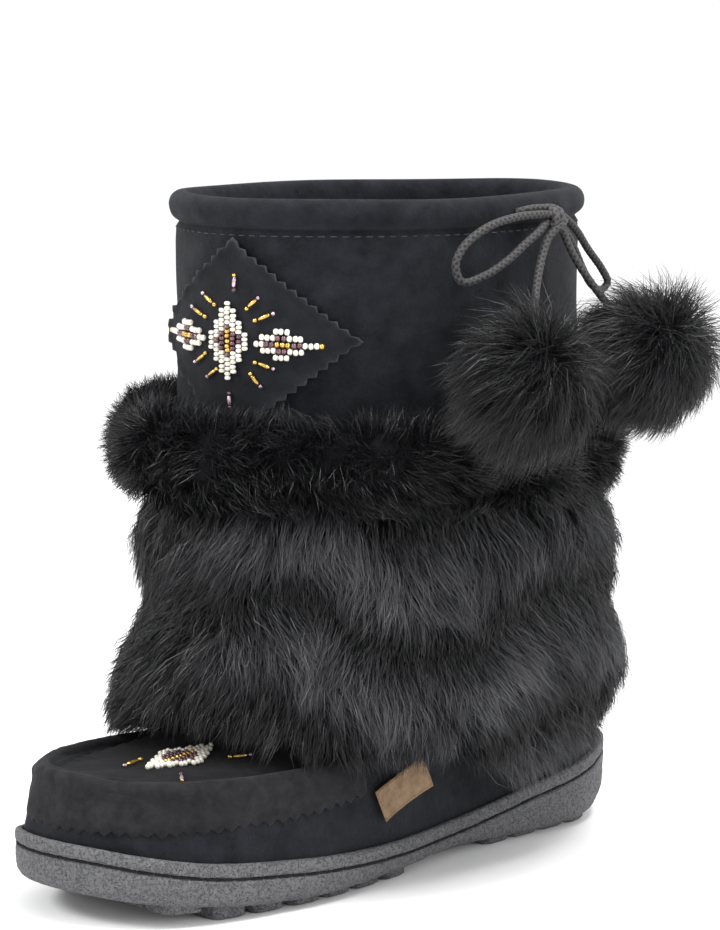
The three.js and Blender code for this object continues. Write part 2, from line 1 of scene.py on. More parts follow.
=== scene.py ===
import bpy
import numpy as np
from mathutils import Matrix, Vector


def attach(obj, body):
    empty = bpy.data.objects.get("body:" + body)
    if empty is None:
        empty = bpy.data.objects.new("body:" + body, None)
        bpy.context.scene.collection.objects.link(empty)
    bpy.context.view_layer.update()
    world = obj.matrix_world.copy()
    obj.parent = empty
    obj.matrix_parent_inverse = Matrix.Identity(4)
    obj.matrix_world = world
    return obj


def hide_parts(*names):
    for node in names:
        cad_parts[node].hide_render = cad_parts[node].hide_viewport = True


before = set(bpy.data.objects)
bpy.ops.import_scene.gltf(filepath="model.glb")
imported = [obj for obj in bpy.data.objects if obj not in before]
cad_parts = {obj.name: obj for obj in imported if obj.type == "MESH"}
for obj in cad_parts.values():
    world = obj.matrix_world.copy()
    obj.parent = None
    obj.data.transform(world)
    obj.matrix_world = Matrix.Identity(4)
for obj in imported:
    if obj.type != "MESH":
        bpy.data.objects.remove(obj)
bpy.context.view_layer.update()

# Mukluk boot, left foot. Tables and sizes are in millimetres in the frame of the CAD part: the toe
# points to -y, the outer side of the foot to +x. s is the distance ahead of the back of the heel.
MM = 0.001
HEEL_BACK = 140
GAP = 0.3

# Sole edges in plan: s, inner x, outer x.
OUTLINE = [
    (0, 0.8, 0.8), (1.5, -13, 13.4), (6, -24, 23), (15, -33, 31), (35, -39.5, 39.3), (70, -38, 40.5),
    (110, -34.5, 42), (150, -40, 50.5), (190, -50, 53.6), (210, -52.5, 51.5), (235, -50, 47),
    (255, -43, 39), (268, -34.5, 27), (276, -25, 13.2), (279.2, -16, 1.4), (280, -8, -8),
]
# Along the foot: s, then heights of tread base, foot bed floor, foxing lip, moccasin ridge and upper
# on its centre line, and how far the apron lies below the ridge.
HEIGHTS = [
    (0, 12.5, 17, 33, 50, 50, 0), (30, 3.4, 14.5, 28, 50, 66, 0), (60, 2.6, 12.5, 23.3, 50, 80, 0),
    (120, 4.6, 11, 16.3, 50, 92, 0), (160, 4.0, 10.5, 16.8, 50, 84, 0),
    (190, 3.4, 10.5, 18.3, 50.5, 57.5, 1),
    (215, 4.0, 11.5, 20.3, 50.5, 52, 3), (240, 6.4, 14, 22.9, 51.5, 49.2, 3.5),
    (262, 9.2, 16.5, 27, 53.5, 48.8, 4), (280, 12, 20, 30.4, 56, 50.5, 5),
]
# Leg and pelt: height, back and front edges in y, half the width.
LEG = [
    (30, 131, -20, 33), (45, 132.5, -42, 42), (60, 128.5, -56, 51), (80, 122, -60, 59.5),
    (105, 117, -61, 65), (132, 114, -61, 67.3), (246.5, 114, -61, 67.3),
]
PELT = [
    (24, 134, -60, 44), (34, 137, -66, 50), (44, 139, -74, 61), (54, 139.5, -84, 73),
    (62, 139.5, -89, 80), (72, 139, -86, 82), (86, 136.5, -81, 83.5), (104, 134, -78.5, 84),
    (142.5, 130, -77, 82),
]
# Lower edge of the pelt: s and height.
PELT_EDGE = [
    (-10, 41), (28, 38), (53, 37), (74, 34), (96, 29), (130, 37), (134, 51.5), (152, 49.5),
    (171, 46), (198, 51), (214, 54), (232, 56),
]
SEAM = 246.5
GROOVE_DROP = 5.5
LUG = {"inset": 6, "pitch": 16.5, "length": 14}
BAND = {"bottom": 34.5, "back": 168, "pitch": 5.5, "tooth": 1.9}
APRON_EDGE = 12
PATCH = {"turn": -79.6, "height": 208, "width": 48.5, "tall": 37.6, "lift": 1.3, "teeth": 13}
LABEL = {"s": 150.5, "z": 36.9, "out": 50.6, "width": 26, "height": 13.3, "tilt": 23, "turn": -3}
CORD = 3.0
KNOT = (75.5, 42.8, 250.8)
POMPOMS = {"front": ((105, 2.2, 197), 26), "rear": ((104.2, 65.4, 200.6), 25)}
# Fineness of the meshes: points round the sole and round the leg, tufts of hair, hairs in a tuft.
SOLE_STATIONS = 420
LEG_STATIONS = 250
TUFTS = {"pelt": 3900, "roll": 3900, "pompom": 2400}
HAIRS_IN_TUFT = 12


# ---------------------------------------------------------------- curves and grids
def column(table, at, which):
    """Smooth function of a table's first column, with no overshoot: between two rows it is
    a(1 - e) + b·e + t(1 - t)((1 - t)·m0 - t·m1)·span with e = t²(3 - 2t) and harmonic mean slopes m."""
    rows = np.array(table, float)
    key, value = rows[:, 0], rows[:, which]
    span = np.diff(key)
    slope = np.diff(value) / span
    mean = np.zeros(len(key))
    rising = slope[:-1] * slope[1:] > 0
    total = np.where(rising, slope[:-1] + slope[1:], 1)
    mean[1:-1] = np.where(rising, 2 * slope[:-1] * slope[1:] / total, 0)
    place = np.clip(at, key[0], key[-1])
    i = np.clip(np.searchsorted(key, place, side="right") - 1, 0, len(key) - 2)
    t = (place - key[i]) / span[i]
    ease = t * t * (3 - 2 * t)
    bend = t * (1 - t) * ((1 - t) * mean[i] - t * mean[i + 1]) * span[i]
    return value[i] * (1 - ease) + value[i + 1] * ease + bend


def height_of(which):
    """A column of the heights along the foot, as a function of s."""
    return lambda s: column(HEIGHTS, s, which)


base, floor_of, lip, ridge, crown, dip = (height_of(i) for i in range(1, 7))


def unit(vectors):
    """Vectors divided by their lengths."""
    return vectors / np.maximum(np.linalg.norm(vectors, axis=-1, keepdims=True), 1e-9)


def ease(value, start, end):
    """0 before start, 1 after end, t²(3 - 2t) between."""
    t = np.clip((value - start) / (end - start), 0, 1)
    return t * t * (3 - 2 * t)


def through(knots, steps):
    """Smooth line or surface through rows of points: centripetal Catmull-Rom pieces, each cut into steps."""
    knots = np.array(knots, float)
    p = np.concatenate([[2 * knots[0] - knots[1]], knots, [2 * knots[-1] - knots[-2]]])
    gap = np.sqrt(np.linalg.norm(np.diff(p, axis=0), axis=-1, keepdims=True)) + 1e-6
    early, here, late = gap[:-2], gap[1:-1], gap[2:]
    a, b, c, d = p[:-3], p[1:-2], p[2:-1], p[3:]
    leave = ((b - a) / early - (c - a) / (early + here) + (c - b) / here) * here
    arrive = ((c - b) / here - (d - b) / (here + late) + (d - c) / late) * here
    t = np.linspace(0, 1, steps, endpoint=False).reshape((1, steps) + (1,) * (knots.ndim - 1))
    b, c, leave, arrive = (x[:, None] for x in (b, c, leave, arrive))
    cubic = b + leave * t + (3 * c - 3 * b - 2 * leave - arrive) * t**2
    cubic = cubic + (2 * b - 2 * c + leave + arrive) * t**3
    return np.concatenate([cubic.reshape((-1,) + knots.shape[1:]), knots[-1:]])


def walked(line):
    """Distance along a line at each of its points."""
    return np.r_[0, np.cumsum(np.linalg.norm(np.diff(line, axis=0), axis=1))]


def along(line, places):
    """Points of a line at these distances from its start."""
    distance = walked(line)
    return np.stack([np.interp(places, distance, part) for part in line.T], -1)


def even(line, count):
    """That many points spaced evenly along a line."""
    return along(line, np.linspace(0, walked(line)[-1], count))


def unevenness(points, size, seed, waves=14):
    """Soft random field of about -1 to 1: a sum of sine waves near that size in random directions."""
    rng = np.random.default_rng(seed)
    direction = unit(rng.normal(size=(waves, 3))) * rng.uniform(0.7, 1.4, (waves, 1)) * 2 * np.pi / size
    phase = rng.uniform(0, 2 * np.pi, waves)
    return np.sin(points @ direction.T + phase).sum(-1) * np.sqrt(0.9 / waves)


def cells(rows, columns, wrap_rows=False, wrap_columns=False, start=0):
    """The four corners of each cell of a grid of points."""
    index = np.arange(rows * columns).reshape(rows, columns) + start
    if wrap_columns:
        index = np.concatenate([index, index[:, :1]], axis=1)
    if wrap_rows:
        index = np.concatenate([index, index[:1]], axis=0)
    corners = [index[:-1, :-1], index[:-1, 1:], index[1:, 1:], index[1:, :-1]]
    return np.stack(corners, -1).reshape(-1, 4)


def welded(points, faces):
    """Joins points that lie together, and turns a four-sided face with two alike corners into a triangle."""
    _, first, same = np.unique(np.round(points, 3), axis=0, return_index=True, return_inverse=True)
    same = same.ravel()
    done = []
    for group in faces:
        group = same[group]
        if group.shape[1] == 3:
            group = group[:, [0, 1, 2, 2]]
        alike = group == np.roll(group, -1, axis=1)
        done.append(group[alike.sum(1) == 0])
        for corner in range(4):
            closed = group[(alike.sum(1) == 1) & alike[:, corner]]
            done.append(np.delete(closed, corner, axis=1))
    return points[first], [group for group in done if len(group)]


def volume(points, faces):
    """Six times the signed volume inside the faces."""
    total = 0
    for group in faces:
        for k in range(1, group.shape[1] - 1):
            a, b, c = (points[group[:, i]] for i in (0, k, k + 1))
            total += np.einsum("ij,ij->i", a, np.cross(b, c)).sum()
    return total


def piece(name, points, faces, finish, closed=True, **fields):
    """Object from points in millimetres and arrays of faces, facing outwards; fields are numbers kept at
    each point."""
    points = np.asarray(points, float).reshape(-1, 3)
    if closed and volume(points, faces) < 0:
        faces = [group[:, ::-1] for group in faces]
    mesh = bpy.data.meshes.new(name)
    corners = np.concatenate([group.ravel() for group in faces]).astype(np.int32)
    sizes = np.concatenate([np.full(len(group), group.shape[1]) for group in faces])
    mesh.vertices.add(len(points))
    mesh.vertices.foreach_set("co", (points * MM).astype(np.float32).ravel())
    mesh.loops.add(len(corners))
    mesh.loops.foreach_set("vertex_index", corners)
    mesh.polygons.add(len(sizes))
    mesh.polygons.foreach_set("loop_start", (np.cumsum(sizes) - sizes).astype(np.int32))
    mesh.polygons.foreach_set("use_smooth", np.full(len(sizes), True))
    mesh.update(calc_edges=True)
    for field, value in fields.items():
        kept = mesh.attributes.new(field, "FLOAT", "POINT")
        kept.data.foreach_set("value", np.asarray(value, np.float32).ravel())
    mesh.materials.append(finish)
    made = bpy.data.objects.new(name, mesh)
    bpy.context.scene.collection.objects.link(made)
    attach(made, "root")
    return made


def stands_for(made, slot, *nodes):
    """The piece is shown in place of these CAD nodes, which are hidden; slot is not used."""
    if nodes:
        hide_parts(*nodes)
    return made


def sheet_shell(outer, inner, wrap):
    """Closed wall between two grids of the same size; wrap joins the first column to the last."""
    rows, columns = outer.shape[:2]
    section = np.concatenate([outer, inner[::-1]])
    faces = [cells(2 * rows, columns, wrap_rows=True, wrap_columns=wrap)]
    if not wrap:
        index = np.arange(2 * rows * columns).reshape(2 * rows, columns)
        for edge in (0, columns - 1):
            front, back = index[:rows, edge], index[:rows - 1:-1, edge]
            end = np.stack([front[:-1], front[1:], back[1:], back[:-1]], -1)
            faces.append(end if edge == 0 else end[:, ::-1])
    return section.reshape(-1, 3), faces


def tube(path, sides, radius, relief=None):
    """Closed tube round a path: ring point = path + (radius + relief)·(side·cos turn + up·sin turn), with
    side and up carried along the path without twist; relief is a function of turn and distance."""
    ahead = unit(np.gradient(path, axis=0))
    side = [unit(np.cross(ahead[0], [0.31, 0.17, 0.93]))]
    for direction in ahead[1:]:
        side.append(unit(side[-1] - direction * (side[-1] @ direction)))
    side = np.array(side)
    up = np.cross(ahead, side)
    turn = np.linspace(0, 2 * np.pi, sides, endpoint=False)
    distance = walked(path)[:, None]
    size = radius + (relief(turn[None], distance) if relief else 0) + 0 * turn[None] + 0 * distance
    rings = path[:, None] + size[..., None] * (
        side[:, None] * np.cos(turn)[None, :, None] + up[:, None] * np.sin(turn)[None, :, None]
    )
    count = len(path)
    points = np.concatenate([rings.reshape(-1, 3), path[:1], path[-1:]])
    ring = np.arange(sides)
    start = np.stack([ring, np.roll(ring, -1), np.full(sides, count * sides)], 1)
    last = (count - 1) * sides
    end = np.stack([np.roll(ring, -1) + last, ring + last, np.full(sides, count * sides + 1)], 1)
    return points, [cells(count, sides, wrap_columns=True)[:, ::-1], start, end], size


def pips(centre, length_way, out, half_length, half_width, half_height, blunt=0.6, sides=8, rows=4):
    """Joined small barrels. On each one a point is centre + length_way·half_length·cos v +
    (side·half_width·cos u + out·half_height·sin u)·(sin v)^blunt."""
    centre = np.asarray(centre, float).reshape(-1, 3)
    count = len(centre)
    length_way = unit(np.broadcast_to(length_way, (count, 3)))
    side = unit(np.cross(length_way, np.broadcast_to(out, (count, 3))))
    out = np.cross(side, length_way)
    half_length, half_width, half_height = (
        np.broadcast_to(x, (count,))[:, None, None] for x in (half_length, half_width, half_height)
    )
    v = np.linspace(0, np.pi, rows + 2)[1:-1]
    u = np.linspace(0, 2 * np.pi, sides, endpoint=False)
    v, u = (x.ravel()[None, :, None] for x in np.meshgrid(v, u, indexing="ij"))
    round_part = np.sin(v) ** blunt
    ring = centre[:, None] + length_way[:, None] * half_length * np.cos(v)
    ring = ring + side[:, None] * half_width * round_part * np.cos(u)
    ring = ring + out[:, None] * half_height * round_part * np.sin(u)
    tips = np.stack([centre + length_way * half_length[:, 0], centre - length_way * half_length[:, 0]], 1)
    points = np.concatenate([ring, tips], axis=1)
    each = rows * sides + 2
    turn = np.arange(sides)
    cap = np.stack([turn, np.roll(turn, -1), np.full(sides, rows * sides)], 1)
    foot = np.stack([np.roll(turn, -1), turn, np.full(sides, rows * sides + 1)], 1)
    foot[:, :2] += (rows - 1) * sides
    offset = (np.arange(count) * each)[:, None, None]
    faces = [
        (group[None] + offset).reshape(-1, group.shape[1])
        for group in (cells(rows, sides, wrap_columns=True)[:, ::-1], cap, foot)
    ]
    return points.reshape(-1, 3), faces


# ---------------------------------------------------------------- finishes
def nodes_of(name):
    """New material with its node tree, its shader and the object's own coordinates."""
    material = bpy.data.materials.new(name)
    material.use_nodes = True
    tree = material.node_tree
    shader = tree.nodes["Principled BSDF"]
    place = tree.nodes.new("ShaderNodeTexCoord").outputs["Object"]
    return material, tree, shader, place


def noise(tree, place, size, detail=4.0, rough=0.6):
    """Noise whose features are about that many millimetres across."""
    node = tree.nodes.new("ShaderNodeTexNoise")
    node.inputs["Scale"].default_value = 1 / (size * MM)
    node.inputs["Detail"].default_value = detail
    node.inputs["Roughness"].default_value = rough
    tree.links.new(place, node.inputs["Vector"])
    return node.outputs["Fac"]


def blend(tree, factor, low, high, dark, light):
    """Colour that goes from dark to light as the factor goes from low to high."""
    ramp = tree.nodes.new("ShaderNodeValToRGB")
    ramp.color_ramp.elements[0].position = low
    ramp.color_ramp.elements[1].position = high
    ramp.color_ramp.elements[0].color = (*dark, 1)
    ramp.color_ramp.elements[1].color = (*light, 1)
    tree.links.new(factor, ramp.inputs["Fac"])
    return ramp.outputs["Color"]


def raise_by(tree, shader, factor, depth, strength=1.0, before=None):
    """Bump of that depth in millimetres from a factor."""
    bump = tree.nodes.new("ShaderNodeBump")
    bump.inputs["Distance"].default_value = depth * MM
    bump.inputs["Strength"].default_value = strength
    tree.links.new(factor, bump.inputs["Height"])
    if before:
        tree.links.new(before, bump.inputs["Normal"])
    tree.links.new(bump.outputs["Normal"], shader.inputs["Normal"])
    return bump.outputs["Normal"]


def set_shine(shader, roughness, specular, sheen=0.0, coat=0.0):
    """How rough, shiny, downy and lacquered a finish is."""
    shader.inputs["Roughness"].default_value = roughness
    shader.inputs["Specular IOR Level"].default_value = specular
    shader.inputs["Sheen Weight"].default_value = sheen
    shader.inputs["Coat Weight"].default_value = coat
    shader.inputs["Coat Roughness"].default_value = 0.1


def napped(name, dark, light, nap=0.7, cloud=14, depth=0.35, sheen=0.04, rubbed=0.0):
    """Suede or felt: soft cloudy shade, with short nap raised from it; rubbed is how much paler it is, as a
    painted highlight, where the attribute rubbed is 1."""
    material, tree, shader, place = nodes_of(name)
    clouds = noise(tree, place, cloud, 11, 0.72)
    shade = blend(tree, clouds, 0.35, 0.68, dark, light)
    if rubbed:
        edge_highlight_mask = tree.nodes.new("ShaderNodeAttribute")
        edge_highlight_mask.attribute_name = "rubbed"
        paler = tree.nodes.new("ShaderNodeMixRGB")
        paler.blend_type = "ADD"
        tree.links.new(edge_highlight_mask.outputs["Fac"], paler.inputs["Fac"])
        tree.links.new(shade, paler.inputs["Color1"])
        paler.inputs["Color2"].default_value = (rubbed, rubbed, rubbed * 1.1, 1)
        shade = paler.outputs["Color"]
    tree.links.new(shade, shader.inputs["Base Color"])
    coarse = raise_by(tree, shader, noise(tree, place, nap * 5, 3, 0.6), depth * 1.6, 0.6)
    raise_by(tree, shader, noise(tree, place, nap, 4, 0.7), depth, 0.8, coarse)
    set_shine(shader, 0.92, 0.12, sheen)
    shader.inputs["Sheen Roughness"].default_value = 0.5
    return material


def crepe():
    """Crepe rubber: crinkled skin, whose fine furrows are the valleys of ridged noise, painted dark as
    painted shade.
    """
    material, tree, shader, place = nodes_of("crepe_rubber")
    folded = []
    for size in (2.0, 0.95):
        fold = tree.nodes.new("ShaderNodeMath")
        fold.operation = "SUBTRACT"
        fold.inputs[1].default_value = 0.5
        tree.links.new(noise(tree, place, size, 3, 0.55), fold.inputs[0])
        fold_up = tree.nodes.new("ShaderNodeMath")
        fold_up.operation = "ABSOLUTE"
        tree.links.new(fold.outputs[0], fold_up.inputs[0])
        furrow = tree.nodes.new("ShaderNodeMapRange")
        furrow.inputs["From Max"].default_value = 0.1
        tree.links.new(fold_up.outputs[0], furrow.inputs["Value"])
        folded.append(furrow.outputs["Result"])
    both = tree.nodes.new("ShaderNodeMath")
    both.operation = "MULTIPLY_ADD"
    both.inputs[1].default_value = 0.6
    tree.links.new(folded[1], both.inputs[0])
    tree.links.new(folded[0], both.inputs[2])
    mottle_and_painted_furrow_shade = tree.nodes.new("ShaderNodeMath")
    mottle_and_painted_furrow_shade.operation = "MULTIPLY_ADD"
    mottle_and_painted_furrow_shade.inputs[1].default_value = 0.5
    tree.links.new(both.outputs[0], mottle_and_painted_furrow_shade.inputs[0])
    tree.links.new(noise(tree, place, 0.8, 3, 0.7), mottle_and_painted_furrow_shade.inputs[2])
    # Painted shade: the furrows are coloured near black; the fine noise mixed in is a random mottle of the
    # rubber.
    shade = blend(tree, mottle_and_painted_furrow_shade.outputs[0], 0.4, 1.75, (0.012, 0.012, 0.0135), (0.175, 0.175, 0.184))
    tree.links.new(shade, shader.inputs["Base Color"])
    raise_by(tree, shader, mottle_and_painted_furrow_shade.outputs[0], 1.3, 1.0)
    set_shine(shader, 0.72, 0.3)
    return material


def hair_finish(name, dark, light):
    """Hair: each hair keeps its own shade, and is a little paler towards its tip."""
    material, tree, shader, _ = nodes_of(name)
    shade = tree.nodes.new("ShaderNodeAttribute")
    shade.attribute_name = "shade"
    tree.links.new(blend(tree, shade.outputs["Fac"], 0.0, 1.0, dark, light), shader.inputs["Base Color"])
    set_shine(shader, 0.38, 0.28)
    return material


def braid():
    """Braided cord: the crests of the strands are painted pale as painted highlight, and the furrows between
    them dark as painted shade.
    """
    material, tree, shader, place = nodes_of("braided_cord")
    strand = tree.nodes.new("ShaderNodeAttribute")
    strand.attribute_name = "strand"
    shade = blend(tree, strand.outputs["Fac"], 0.0, 1.0, (0.003, 0.0028, 0.0028), (0.062, 0.059, 0.059))
    tree.links.new(shade, shader.inputs["Base Color"])
    raise_by(tree, shader, noise(tree, place, 0.35, 3, 0.6), 0.12, 0.7)
    set_shine(shader, 0.62, 0.3, 0.05)
    return material


def glazed(name, dark, light, roughness, metal=0.0, coat=0.6):
    """Glass or metal bead, with a slightly different tone from bead to bead."""
    material, tree, shader, place = nodes_of(name)
    shade = blend(tree, noise(tree, place, 1.6, 1), 0.35, 0.65, dark, light)
    tree.links.new(shade, shader.inputs["Base Color"])
    raise_by(tree, shader, noise(tree, place, 0.5, 2), 0.05, 0.4)
    set_shine(shader, roughness, 0.5, 0, coat)
    shader.inputs["Metallic"].default_value = metal
    return material


SUEDE = napped("black_suede", (0.005, 0.0056, 0.0075), (0.0155, 0.0168, 0.021), 0.7, 11, 0.5)
BAND_SUEDE = napped("band_suede", (0.0075, 0.0072, 0.0085), (0.019, 0.0182, 0.0205), 0.8, 6)
APRON_SUEDE = napped("apron_suede", (0.003, 0.003, 0.004), (0.0075, 0.0075, 0.0092), 0.8, 7)
PATCH_SUEDE = napped("patch_suede", (0.0072, 0.0077, 0.0094), (0.0145, 0.0155, 0.0185), 0.8, 9, rubbed=0.028)
LINING = napped("fleece_lining", (0.012, 0.013, 0.016), (0.03, 0.032, 0.036), 1.6, 7, 0.8, 0.3)
TAN = napped("tan_leather", (0.125, 0.082, 0.05), (0.225, 0.155, 0.1), 0.5, 5, 0.15, 0.0)
CREPE = crepe()
UNDERFUR = napped("under_fur", (0.002, 0.002, 0.0025), (0.006, 0.006, 0.007), 1.5, 9, 1.2, 0.0)
HAIR = hair_finish("black_hair", (0.0018, 0.0019, 0.0026), (0.076, 0.076, 0.084))
BRAID = braid()
THREAD = napped("black_thread", (0.006, 0.006, 0.007), (0.02, 0.02, 0.022), 0.3, 2, 0.1, 0.0)
GREY_THREAD = napped("grey_thread", (0.03, 0.034, 0.042), (0.07, 0.078, 0.095), 0.3, 9, 0.1, 0.0)
TAN_THREAD = napped("tan_thread", (0.20, 0.12, 0.05), (0.34, 0.22, 0.11), 0.3, 2, 0.1, 0.0)
CREAM_BEAD = glazed("cream_beads", (0.74, 0.69, 0.58), (0.86, 0.83, 0.75), 0.22)
GOLD_BEAD = glazed("gold_beads", (0.42, 0.23, 0.03), (0.75, 0.50, 0.12), 0.18, 0.75)
PLUM_BEAD = glazed("plum_beads", (0.045, 0.018, 0.026), (0.16, 0.075, 0.09), 0.15, 0.3)
PINK_BEAD = glazed("pink_beads", (0.30, 0.17, 0.26), (0.62, 0.52, 0.58), 0.15, 0.5)


# ---------------------------------------------------------------- camera
def place_camera():
    """Camera round the boot: target + distance·(sin a·cos e, -cos a·cos e, sin e)."""
    target, distance = np.array([-18, 34, 149]), 1300
    azimuth, elevation = np.radians([45.6, 7.95])
    back = np.array([
        np.sin(azimuth) * np.cos(elevation), -np.cos(azimuth) * np.cos(elevation), np.sin(elevation),
    ])
    camera = bpy.data.objects.new("camera", bpy.data.cameras.new("camera"))
    camera.location = Vector((target + distance * back) * MM)
    camera.rotation_mode = "QUATERNION"
    camera.rotation_quaternion = Vector(-back).to_track_quat("-Z", "Y")
    camera.data.lens = 126.8
    bpy.context.scene.collection.objects.link(camera)
    bpy.context.scene.camera = camera


place_camera()

# ---------------------------------------------------------------- drawcord
# From the casing: lead, wrap in the knot, front loop, knot again, hanging end, pompom.
FRONT_ROUTE = [
    (69.5, 29.6, 253.2), (72.3, 32.4, 254.2), (72.6, 35.2, 254.5), (73.6, 39.5, 254.6), (75.6, 43.6, 254.4),
    (77.9, 44.6, 252.4), (77.6, 41.2, 252.2), (76.9, 37.5, 252.5), (77.2, 31.0, 252.6), (76.6, 21.9, 252.1),
    (75.7, 6.9, 248.7), (73.6, -2.5, 242.3), (72.8, -6.0, 235.6), (73.2, -3.2, 229.4), (75.2, 7.0, 231.3),
    (76.8, 17.5, 236.4), (77.6, 26.0, 242.0), (77.8, 33.5, 246.4), (76.6, 38.6, 249.2), (76.2, 43.4, 250.4),
    (78.6, 46.0, 250.0), (80.2, 43.4, 248.6), (79.8, 39.6, 246.4), (79.8, 36.0, 243.2), (81.0, 32.0, 238.0),
    (85.0, 24.8, 228.8), (91.0, 17.0, 219.0), (98.5, 8.8, 207.0), (105.0, 2.2, 197.0),
]
REAR_ROUTE = [
    (73.6, 42.0, 249.6), (74.4, 45.0, 251.2), (75.4, 48.2, 251.4), (74.8, 52.5, 249.6), (72.9, 59.8, 245.2),
    (70.0, 69.5, 237.6), (68.6, 79.3, 229.3), (66.9, 84.6, 223.8), (67.6, 80.4, 221.2), (70.6, 70.8, 224.2),
    (72.2, 64.4, 230.2), (73.6, 57.3, 239.2), (75.0, 50.4, 246.0), (75.6, 45.6, 248.4), (77.6, 41.8, 249.2),
    (79.4, 42.8, 247.6), (79.6, 45.4, 244.8), (79.9, 46.4, 242.4), (82.4, 49.1, 235.0), (87.6, 53.6, 225.0),
    (95.4, 59.2, 213.0), (104.2, 65.4, 200.6),
]


def braid_relief(turn, distance):
    """Two sets of strands that cross: the taller of two slanted waves round the cord."""
    left = np.sin(2 * np.pi * distance / 2.3 + 3 * turn)
    right = np.sin(2 * np.pi * distance / 2.3 - 3 * turn)
    return 0.21 * (np.maximum(left, right) - 0.5)


def draw_cord(name, route, *nodes):
    """Braided cord along the smooth line through its route, in rings 0.42 mm apart."""
    path = through(route, 12)
    path = even(path, int(walked(path)[-1] / 0.42))
    points, faces, size = tube(path, 16, CORD / 2 - 0.06, braid_relief)
    # Painted highlight on the crests of the strands and painted shade in the furrows: 1 on the crests, 0 in
    # the furrows.
    strand = np.clip((size - CORD / 2 + 0.25) / 0.35, 0, 1)
    made = piece(name, points, faces, BRAID, strand=np.r_[strand.ravel(), 0.5, 0.5])
    return stands_for(made, "cord", *nodes), path


front_cord, front_path = draw_cord(
    "drawcord_front", FRONT_ROUTE, "drawcord_lead", "bow_loop_front", "bow_end_front"
)
rear_cord, rear_path = draw_cord("drawcord_rear", REAR_ROUTE, "bow_loop_rear", "bow_end_rear")


def tie_knot():
    """Wrap of the knot: a tight coil of the cord about the line of the bow."""
    turn = np.linspace(-0.3, 3.4, 90)[:, None] * np.pi
    centre = np.array(KNOT) + [1.0, 0, 0]
    across, up, on = np.array([1, 0, 0]), np.array([0, 0.1, 1]), np.array([0, 1, 0.1])
    path = centre + 3.0 * np.cos(turn) * across + 3.0 * np.sin(turn) * up + (turn / np.pi - 1.5) * 1.3 * on
    points, faces, size = tube(path, 14, CORD / 2, braid_relief)
    # Painted highlight on the crests and painted shade in the furrows, as on the cords.
    strand = np.clip((size - CORD / 2 + 0.25) / 0.35, 0, 1)
    made = piece("bow_knot_wrap", points, faces, BRAID, strand=np.r_[strand.ravel(), 0.5, 0.5])
    return stands_for(made, "cord", "bow_knot")


tie_knot()


# ---------------------------------------------------------------- foot: edge of the sole
def sole_edge(stations):
    """Loop round the sole from the heel by the outer side to the toe and back, with its outward normals."""
    sides = []
    for side in (2, 1):
        rows = [(row[side], HEEL_BACK - row[0], 0) for row in OUTLINE]
        sides.append(even(through(rows, 40), stations // 2 + 1))
    loop = np.concatenate([sides[0], sides[1][-2:0:-1]])
    ahead = unit(np.roll(loop, -2, 0) - np.roll(loop, 2, 0))
    return loop, np.stack([-ahead[:, 1], ahead[:, 0], 0 * ahead[:, 0]], 1)


EDGE, EDGE_OUT = sole_edge(SOLE_STATIONS)
EDGE_LENGTH = walked(np.vstack([EDGE, EDGE[:1]]))[-1]
HALF = len(EDGE) // 2


def inside_edge(inset, height, edge=EDGE, normal=EDGE_OUT):
    """Ring inside the sole's edge: edge - inset·normal, at a height that is a function of s."""
    ring = edge - np.broadcast_to(inset, len(edge))[:, None] * normal
    ring[:, 2] = height(HEEL_BACK - ring[:, 1])
    return ring


def ribs(ring, across):
    """Grid across a ring, from each point of its outer half to the facing point of its inner half."""
    near = ring[: HALF + 1]
    far = ring[(-np.arange(HALF + 1)) % len(ring)]
    share = np.linspace(0, 1, across + 1)[None, :, None]
    return near[:, None] * (1 - share) + far[:, None] * share


# ---------------------------------------------------------------- cup sole
def make_sole():
    """Moulded cup: section rows of inset and height carried round the edge, closed by ribs below and inside,
    with a slightly uneven skin."""
    groove = lambda s: lip(s) - GROOVE_DROP
    section = [
        (5, base), (3.4, lambda s: base(s) + 0.3), (2.2, lambda s: base(s) + 1.2),
        (1.2, lambda s: base(s) + 2.2), (0.5, lambda s: base(s) + 3.6),
        (0.05, lambda s: (base(s) + 2 * groove(s)) / 3), (0, lambda s: groove(s) - 1.2),
        (0.25, lambda s: groove(s) - 0.8), (0.95, lambda s: groove(s) - 0.3),
        (0.95, lambda s: groove(s) + 0.3),
        (0.25, lambda s: groove(s) + 0.8), (0, lambda s: groove(s) + 1.2), (0, lambda s: lip(s) - 1.4),
        (0.3, lambda s: lip(s) - 0.5), (0.9, lip), (1.7, lambda s: lip(s) + 0.1), (2.4, lip),
        (3, lambda s: lip(s) - 1), (3, floor_of),
    ]
    rows = through([inside_edge(inset, height) for inset, height in section], 3)
    skin = unevenness(rows, 5.5, 3) * 0.16 + unevenness(rows, 2.6, 4) * 0.09
    rows = rows + EDGE_OUT[None] * skin[..., None]
    count = rows.shape[0] * rows.shape[1]
    bottom, inside = ribs(rows[0], 14), ribs(rows[-1], 14)
    points = np.concatenate([rows.reshape(-1, 3), bottom.reshape(-1, 3), inside.reshape(-1, 3)])
    each = bottom.shape[0] * bottom.shape[1]
    faces = [
        cells(rows.shape[0], rows.shape[1], wrap_columns=True),
        cells(*bottom.shape[:2], start=count),
        cells(*inside.shape[:2], start=count + each)[:, ::-1],
    ]
    points, faces = welded(points, faces)
    return stands_for(piece("cup_sole", points, faces, CREPE), "crepe_rubber", "outsole")


